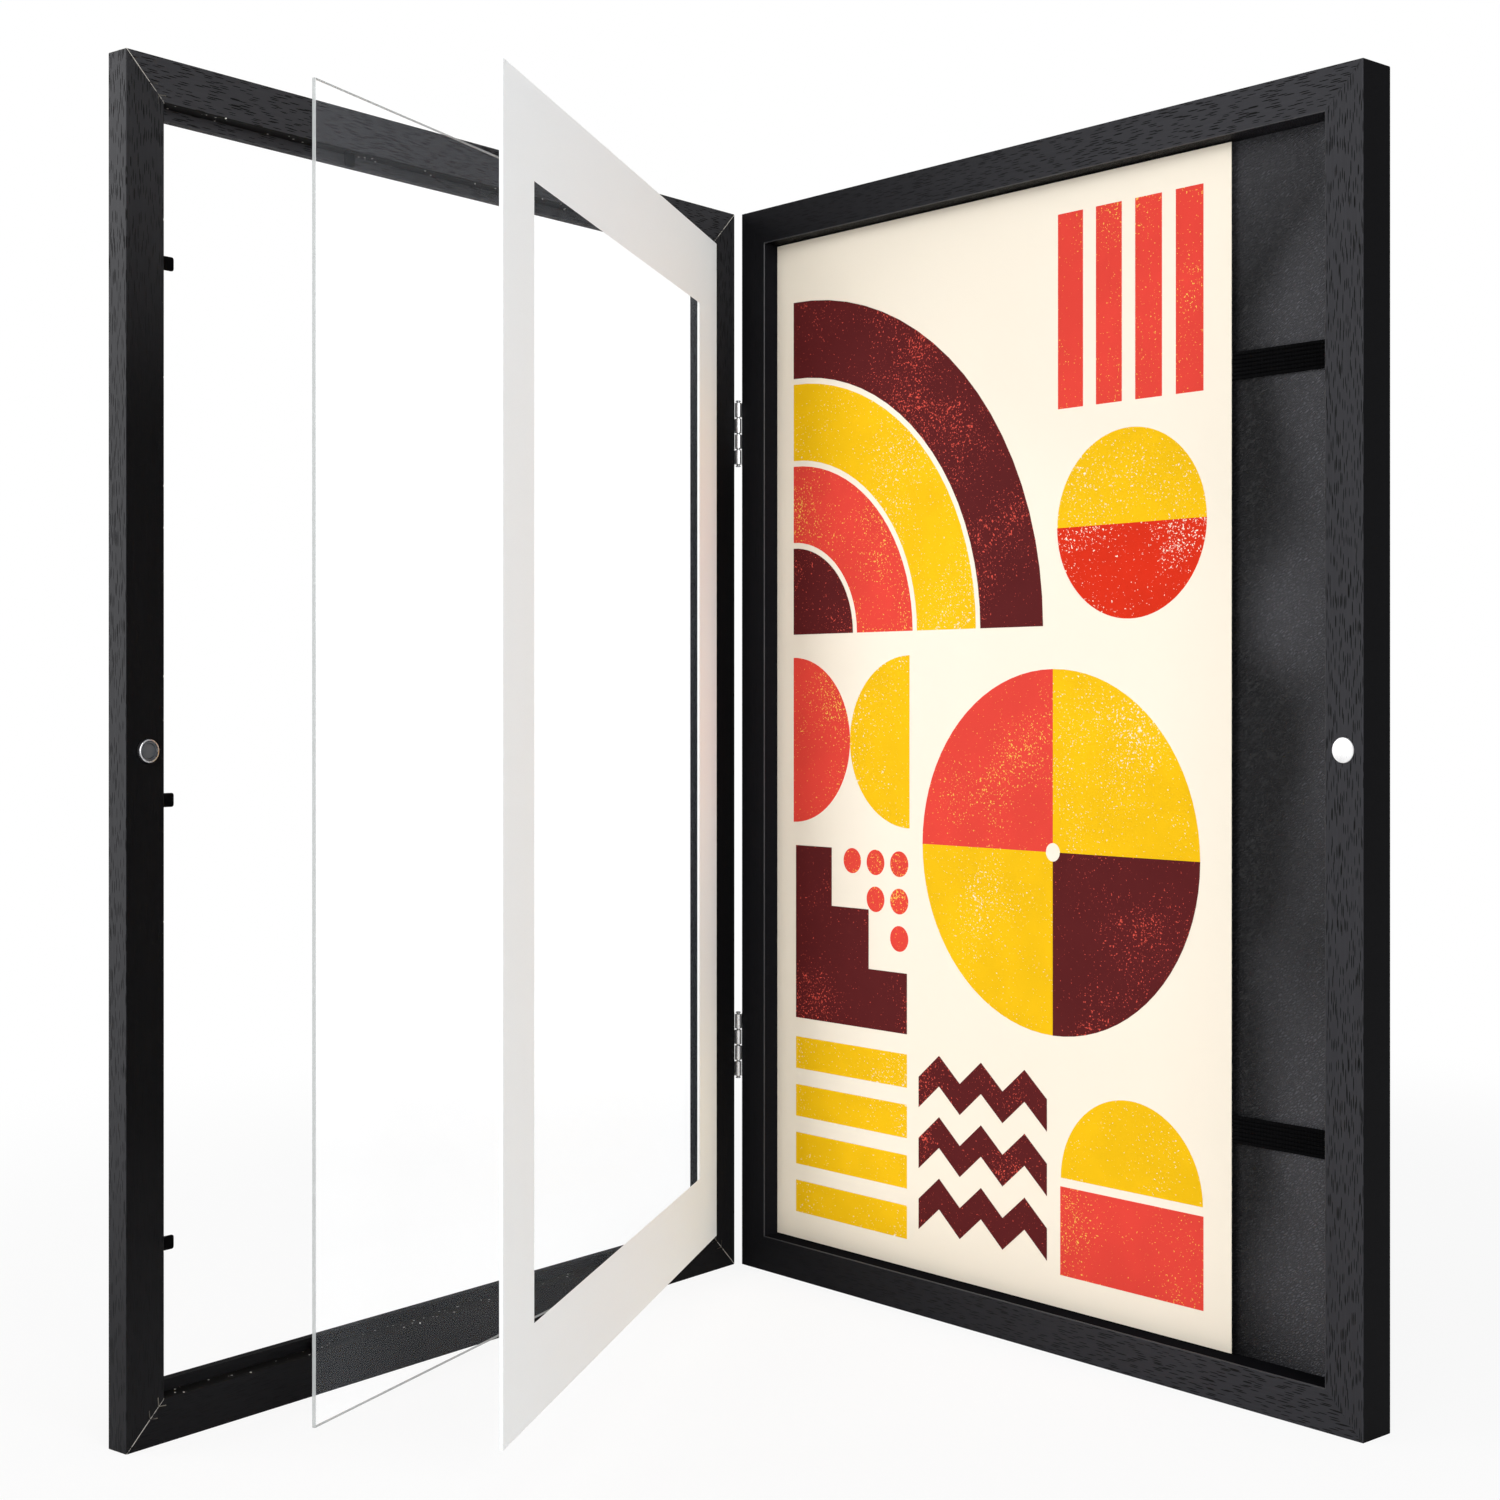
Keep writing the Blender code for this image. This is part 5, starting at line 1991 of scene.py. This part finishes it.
    def zigzag(self, ink: Ink, column: int, row: int, lines: int, teeth: int) -> None:
        """Lays a stack of zigzag bands across a tile.

        Args:
            ink: its ink.
            column: the tile's column.
            row: its row, from the top.
            lines: how many bands.
            teeth: how many teeth each has.
        """
        start = self.zigzag_edge_share
        width = 1 - 2 * start
        for line in range(lines):
            base = self.band_start_share + line * self.band_pitch_share
            lower = []
            for k in range(2 * teeth + 1):
                lower.append((start + width * k / (2 * teeth), base + self.tooth_share * (k % 2)))
            upper = [(x, z + self.band_share) for x, z in reversed(lower)]
            self.polygon(ink, column, row, lower + upper)

    def draw(self) -> None:
        """Lays out the design: a grid of arcs, discs, bars, dots, steps and zigzags."""
        full = self.tile_width * self.disc_share
        # Upper left
        corner = self.tile(0, 1, 0.03, 0.05)
        for i, ink in enumerate((Ink.MAROON, Ink.YELLOW, Ink.RED, Ink.MAROON)):
            outer = full * (4.05 - i)
            self.sector(ink, corner, outer - full * 0.93 if i < 3 else 0.0, outer, 0, 1)
        # Upper right
        self.stripes(Ink.RED, 2, 0, 4, True)
        self.sector(Ink.YELLOW, self.tile(2, 1, 0.5, 0.5), 0.0, full, 0, 4)
        self.sector(Ink.OVERPRINT, self.tile(2, 1, 0.5, 0.5), 0.0, full, 2, 4)
        # Middle left
        self.sector(Ink.RED, self.tile(0, 2, 0.03, 0.5), 0.0, full, -1, 1)
        self.sector(Ink.YELLOW, self.tile(0, 2, 0.97, 0.5), 0.0, full, 1, 3)
        self.steps(Ink.MAROON, 0, 3, 3)
        self.dots(Ink.RED, 0, 3, 3)
        # Middle right
        wheel = self.tile(2, 3, 0.0, 1.0)
        for quarter, ink in enumerate((Ink.YELLOW, Ink.RED, Ink.YELLOW, Ink.MAROON)):
            self.sector(ink, wheel, full * 0.1, full * 1.98, quarter, quarter + 1)
        # Lower row
        self.stripes(Ink.YELLOW, 0, 4, 4, False)
        self.zigzag(Ink.MAROON, 1, 4, 3, 3)
        self.bar(Ink.RED, 2, 4, (self.edge_share, self.edge_share), (1 - self.edge_share, 0.46))
        self.sector(Ink.YELLOW, self.tile(2, 4, 0.5, 0.5), 0.0, full * 0.95, 0, 2)

    def build(self) -> None:
        """Dresses the paper, and makes one piece of each ink."""
        dress("art_print", PAPER)
        self.draw()
        wear = {Ink.YELLOW: 0.09, Ink.RED: 0.11, Ink.MAROON: 0.12, Ink.OVERPRINT: 0.16}
        below = {Ink.RED: (0.94, 0.6, 0.1), Ink.MAROON: (0.75, 0.09, 0.06)}
        for ink, shape in self.shapes.items():
            name = f"print_ink_{ink.name.lower()}"
            finish = WornInk(name, ink=ink, below=below.get(ink, WornInk.below), wear=wear[ink])
            hand_over(make_piece(name, shape, [finish], None), "box")


@dataclass
class Back:
    """The back of the box: its panel, screws, nails and sawtooth hanger."""

    screw_taper: float = 1.5 * MM
    nail_head: float = 1.5 * MM
    nail_head_thickness: float = 0.6 * MM
    nail_shank: float = 0.6 * MM
    nail_length: float = 8.6 * MM
    nail_point: float = 0.4 * MM
    nail_steps: int = 24
    # Each point of a nail's crown: its shares of the head's thickness and of its radius
    crown_shares: tuple[Pair, ...] = ((0.0, 0.6), (0.25, 0.92), (0.5, 1.0))
    point_share: float = 0.3
    screw_turn: float = 0.3
    screw_turn_step: float = 0.7

    @staticmethod
    def rear_spots(names: Sequence[str], turns: Sequence[float]) -> list[Spot]:
        """A spot at the middle of each named fastener's rear end, with its turn.

        Args:
            names: the fasteners' CAD nodes.
            turns: the turn of each.

        Returns:
            The spots.
        """
        spots = []
        for name, turn in zip(names, turns):
            low, high = extent(name)
            spots.append(Spot(Vector(((low.x + high.x) / 2, high.y, (low.z + high.z) / 2)), REARWARD, turn))
        return spots

    def nail(self) -> Shape:
        """One nail of the hanger, pointing up.

        Returns:
            The nail.
        """
        head, thick = self.nail_head, self.nail_head_thickness
        profile = [
            *((thick * far, head * wide) for far, wide in self.crown_shares),
            (thick, head),
            (thick, self.nail_shank),
            (self.nail_length - self.nail_point, self.nail_shank),
            (self.nail_length, self.nail_shank * self.point_share),
        ]
        shape = bmesh.new()
        turned(shape, Vector(), -UP, profile, self.nail_steps)
        return shape

    def build(self) -> None:
        """Dresses the panel and hanger, and models their screws and nails."""
        dress("back_panel", BOARD)
        dress("hanger", STEEL)
        names = [f"panel_screw_{side.value}" for side in Side]
        turns = [self.screw_turn + self.screw_turn_step * i for i in range(len(names))]
        spots = self.rear_spots(names, turns)
        screws = scatter("panel_screws", CrossScrew(self.screw_taper).build(), spots, DULL_STEEL)
        hand_over(screws, "box", names)
        names = ["hanger_nail_1", "hanger_nail_2"]
        nails = scatter("hanger_nails", self.nail(), self.rear_spots(names, (0.0, 0.0)), STEEL)
        hand_over(nails, "box", names)


@dataclass
class Studio:
    """A pale floor, plain soft light and the camera at the photograph's angle."""

    eye: Triple = (0.6272, -0.69915, 0.01656)
    yaw: float = math.radians(48.8)
    focal_px: float = 2242.8
    centre_px: Pair = (767.2, 703.8)
    image_px: float = 1500.0
    sensor: float = 36.0
    clip_start: float = 10.0 * MM
    floor_reach: float = 6.0
    floor_tone: Colour = (0.93, 0.93, 0.93)
    shadow_reach: float = 0.9
    bright_share: float = 0.88
    ambient: float = 0.3
    # Each lamp's name, place, side and power
    lamps: tuple[tuple[str, Triple, float, float], ...] = (
        ("key", (1.1, -2.2, 1.2), 1.6, 16.2),
        ("right", (2.2, -0.5, 0.7), 1.4, 37.0),
        ("left", (-1.3, -1.9, 0.5), 1.6, 26.0),
    )

    def camera(self) -> None:
        """Places a level camera, its picture shifted as the photograph's is."""
        data = bpy.data.cameras.new("camera")
        data.sensor_width = self.sensor
        data.lens = self.focal_px / self.image_px * self.sensor
        data.shift_x = (self.image_px / 2 - self.centre_px[0]) / self.image_px
        data.shift_y = (self.centre_px[1] - self.image_px / 2) / self.image_px
        data.clip_start = self.clip_start
        thing = add_thing("camera", data)
        thing.location = self.eye
        thing.rotation_euler = (math.pi / 2, 0.0, self.yaw)
        bpy.context.scene.camera = thing

    @staticmethod
    def seen(nodes: Nodes) -> Socket:
        """Is 1 for what the camera sees, straight or through the pane."""
        path = nodes.add("ShaderNodeLightPath").outputs
        return nodes.math("MAXIMUM", path["Is Camera Ray"], path["Is Transmission Ray"])

    def floor(self) -> None:
        """Lays a white floor that keeps a soft shadow near the object."""
        material = bpy.data.materials.new("floor")
        material.use_nodes = True
        nodes = Nodes(material.node_tree)
        plain = nodes.add("ShaderNodeBsdfDiffuse", {"Color": as_colour(self.floor_tone)}).outputs[0]
        bright = nodes.add("ShaderNodeEmission", {"Color": as_colour(WHITE), "Strength": 1.0}).outputs[0]
        spot = nodes.add("ShaderNodeTexCoord").outputs["Object"]
        away = nodes.add("ShaderNodeVectorMath", {0: spot}, operation="LENGTH").outputs["Value"]
        fade = nodes.blend(nodes.span(away, self.shadow_reach / 2, self.shadow_reach), self.bright_share, 1.0)
        factor = nodes.math("MULTIPLY", self.seen(nodes), fade)
        mixed = nodes.add("ShaderNodeMixShader", {0: factor, 1: plain, 2: bright}).outputs[0]
        nodes.add("ShaderNodeOutputMaterial", {"Surface": mixed})
        low, reach = CAD_BOUNDS[0][2], self.floor_reach
        corners = [(-reach, -reach, low), (reach, -reach, low), (reach, reach, low), (-reach, reach, low)]
        mesh = bpy.data.meshes.new("floor")
        mesh.from_pydata(corners, [], [(0, 1, 2, 3)])
        mesh.materials.append(material)
        add_thing("floor", mesh)

    def world(self) -> None:
        """Fills the surroundings with white, at a plain level for the light that it gives."""
        world = bpy.data.worlds.new("studio")
        bpy.context.scene.world = world
        world.use_nodes = True
        nodes = Nodes(world.node_tree)
        strength = nodes.blend(self.seen(nodes), self.ambient, 1.0)
        inputs = {"Color": as_colour(WHITE), "Strength": strength}
        sky = nodes.add("ShaderNodeBackground", inputs).outputs[0]
        nodes.add("ShaderNodeOutputWorld", {"Surface": sky})

    @staticmethod
    def lamp(name: str, where: Triple, size: float, power: float) -> None:
        """Hangs one square soft lamp aimed at the middle of the object.

        Args:
            name: its name.
            where: its place.
            size: its side.
            power: its power in watts.
        """
        data = bpy.data.lights.new(name, "AREA")
        data.shape = "SQUARE"
        data.size = size
        data.energy = power
        thing = add_thing(name, data)
        thing.location = where
        thing.rotation_euler = (-Vector(where)).to_track_quat("-Z", "Y").to_euler()

    def build(self) -> None:
        """Sets up the whole studio."""
        bpy.context.scene.view_settings.view_transform = "Standard"
        self.camera()
        self.floor()
        self.world()
        for lamp in self.lamps:
            self.lamp(*lamp)


def build_box(place: Place, door_place: Place) -> None:
    """Models the box half: its moulding, latch, nails, lining, straps, print and back.

    Args:
        place: the box's place.
        door_place: the door's place.
    """
    arris = SIZES.arris
    step = 6.0 * MM
    back_arris = 1.4 * MM
    step_depth = SIZES.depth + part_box("back_panel")[0][1] - SIZES.joint_gap
    latch = Latch(place, door_place)
    # The top wall's lighter tone towards the latch side is a painted sheen.
    top_wall = GrainedSheet(
        "grained_top_wall",
        place,
        tone=(0.003, 0.003, 0.0035),
        sheen=(0.034, 0.034, 0.039),
        sheen_start=SIZES.width * 0.77,
        sheen_end=SIZES.width * 0.88,
        drift=0.0,
        top_share=0.0,
        gloss=0.04,
    )
    MitredFrame(
        "box",
        place,
        [
            (0.0, 0.0, arris),
            (SIZES.face, 0.0, arris),
            (SIZES.face, step_depth, 0.0),
            (SIZES.face - step, step_depth, 0.0),
            (SIZES.face - step, SIZES.depth, 0.0),
            (0.0, SIZES.depth, back_arris),
        ],
        outward=1.0,
        tone=(0.0300, 0.0300, 0.0352),
        mitre=FILLED_MITRE,
        wall=INNER_WALL,
        top_wall=top_wall,
        arris_finish=ARRIS_HIGHLIGHT,
        grain_depth=arris,
        front_depth=arris,
        # Painted shade: the box's wood darkens towards the hinge side, where the open door shades it.
        deep_share=0.29,
        mitre_chamfer=0.03 * MM,
        mitre_gap=0.015 * MM,
        pockets={Side.LATCH: latch.pocket()},
    ).build()
    CornerNails("box", place, out=SIZES.depth + 0.05 * MM, length=9.0 * MM, insets=(4.8 * MM,)).build()
    # The lining's sheen towards the latch side and the top is painted light.
    dress("liner", GrainedSheet("grained_lining", place))
    ElasticStrap("strap_upper").build()
    ElasticStrap("strap_lower").build()
    for name in nodes_named("strap_staple_"):
        dress(name, DULL_STEEL)
    Print().build()
    Back().build()
    latch.disc()
    latch.head()


def build_door(place: Place) -> None:
    """Models the door half: its rebated moulding, corner nails and retaining tabs.

    Args:
        place: the door's place.
    """
    arris = SIZES.arris
    rebate = 6.4 * MM
    lip = 4.2 * MM
    MitredFrame(
        "door",
        place,
        [
            (0.0, 0.0, arris),
            (SIZES.face, 0.0, arris),
            (SIZES.face, rebate, 0.0),
            (SIZES.face + lip, rebate, 0.0),
            (SIZES.face + lip, SIZES.door_thickness, arris),
            (0.0, SIZES.door_thickness, arris),
        ],
        outward=-1.0,
        tone=(0.0310, 0.0310, 0.0345),
        mitre=WORN_MITRE,
        wall=REBATE_WALL,
        top_wall=REBATE_WALL,
        arris_finish=REBATE_WALL,
        grain_depth=SIZES.door_thickness,
        front_depth=SIZES.door_thickness - arris,
        # Painted light and shade: the rails, stiles and edge get lighter or darker copies of the wood,
        # changing by height.
        rail_shares=(0.27, 1.0, 1.0),
        stile_shares=(0.26, 0.13, 0.62),
        edge_shares=(0.62, 1.02, 1.3),
    ).build()
    CornerNails("door", place, out=0.03 * MM, length=5.0 * MM, insets=(9.9 * MM, 13.6 * MM)).build()
    RetainingTabs(place).build()


def build_hinges(box_place: Place, door_place: Place) -> None:
    """Models both hinges and the screws that hold their leaves.

    Args:
        box_place: the box's place.
        door_place: the door's place.
    """
    halves = ((box_place, 1.0), (door_place, -1.0))
    hinges = [Hinge("upper", halves), Hinge("lower", halves)]
    for hinge in hinges:
        hinge.build()
    for place, outward in halves:
        spots = [spot for hinge in hinges for spot in hinge.screw_spots(place, outward)]
        screw = CrossScrew(taper=0.6 * MM).build()
        made = scatter(f"hinge_screws_{place.body}", screw, spots, DULL_STEEL)
        names = [f"hinge_{place.body}_screw_{i + 1}" for i in range(len(spots))]
        hand_over(made, place.body, names)


def main() -> None:
    """Builds the studio and every sub-assembly."""
    logging.basicConfig(level=logging.INFO, format="%(name)s %(message)s")
    Studio().build()
    box_place = SIZES.box_place()
    door_place = SIZES.door_place()
    build_box(box_place, door_place)
    build_door(door_place)
    build_hinges(box_place, door_place)
    Pane(SIZES.sheet_place("pane")).build()
    Mat(SIZES.sheet_place("mat")).build()


if __name__ == "__main__":
    main()
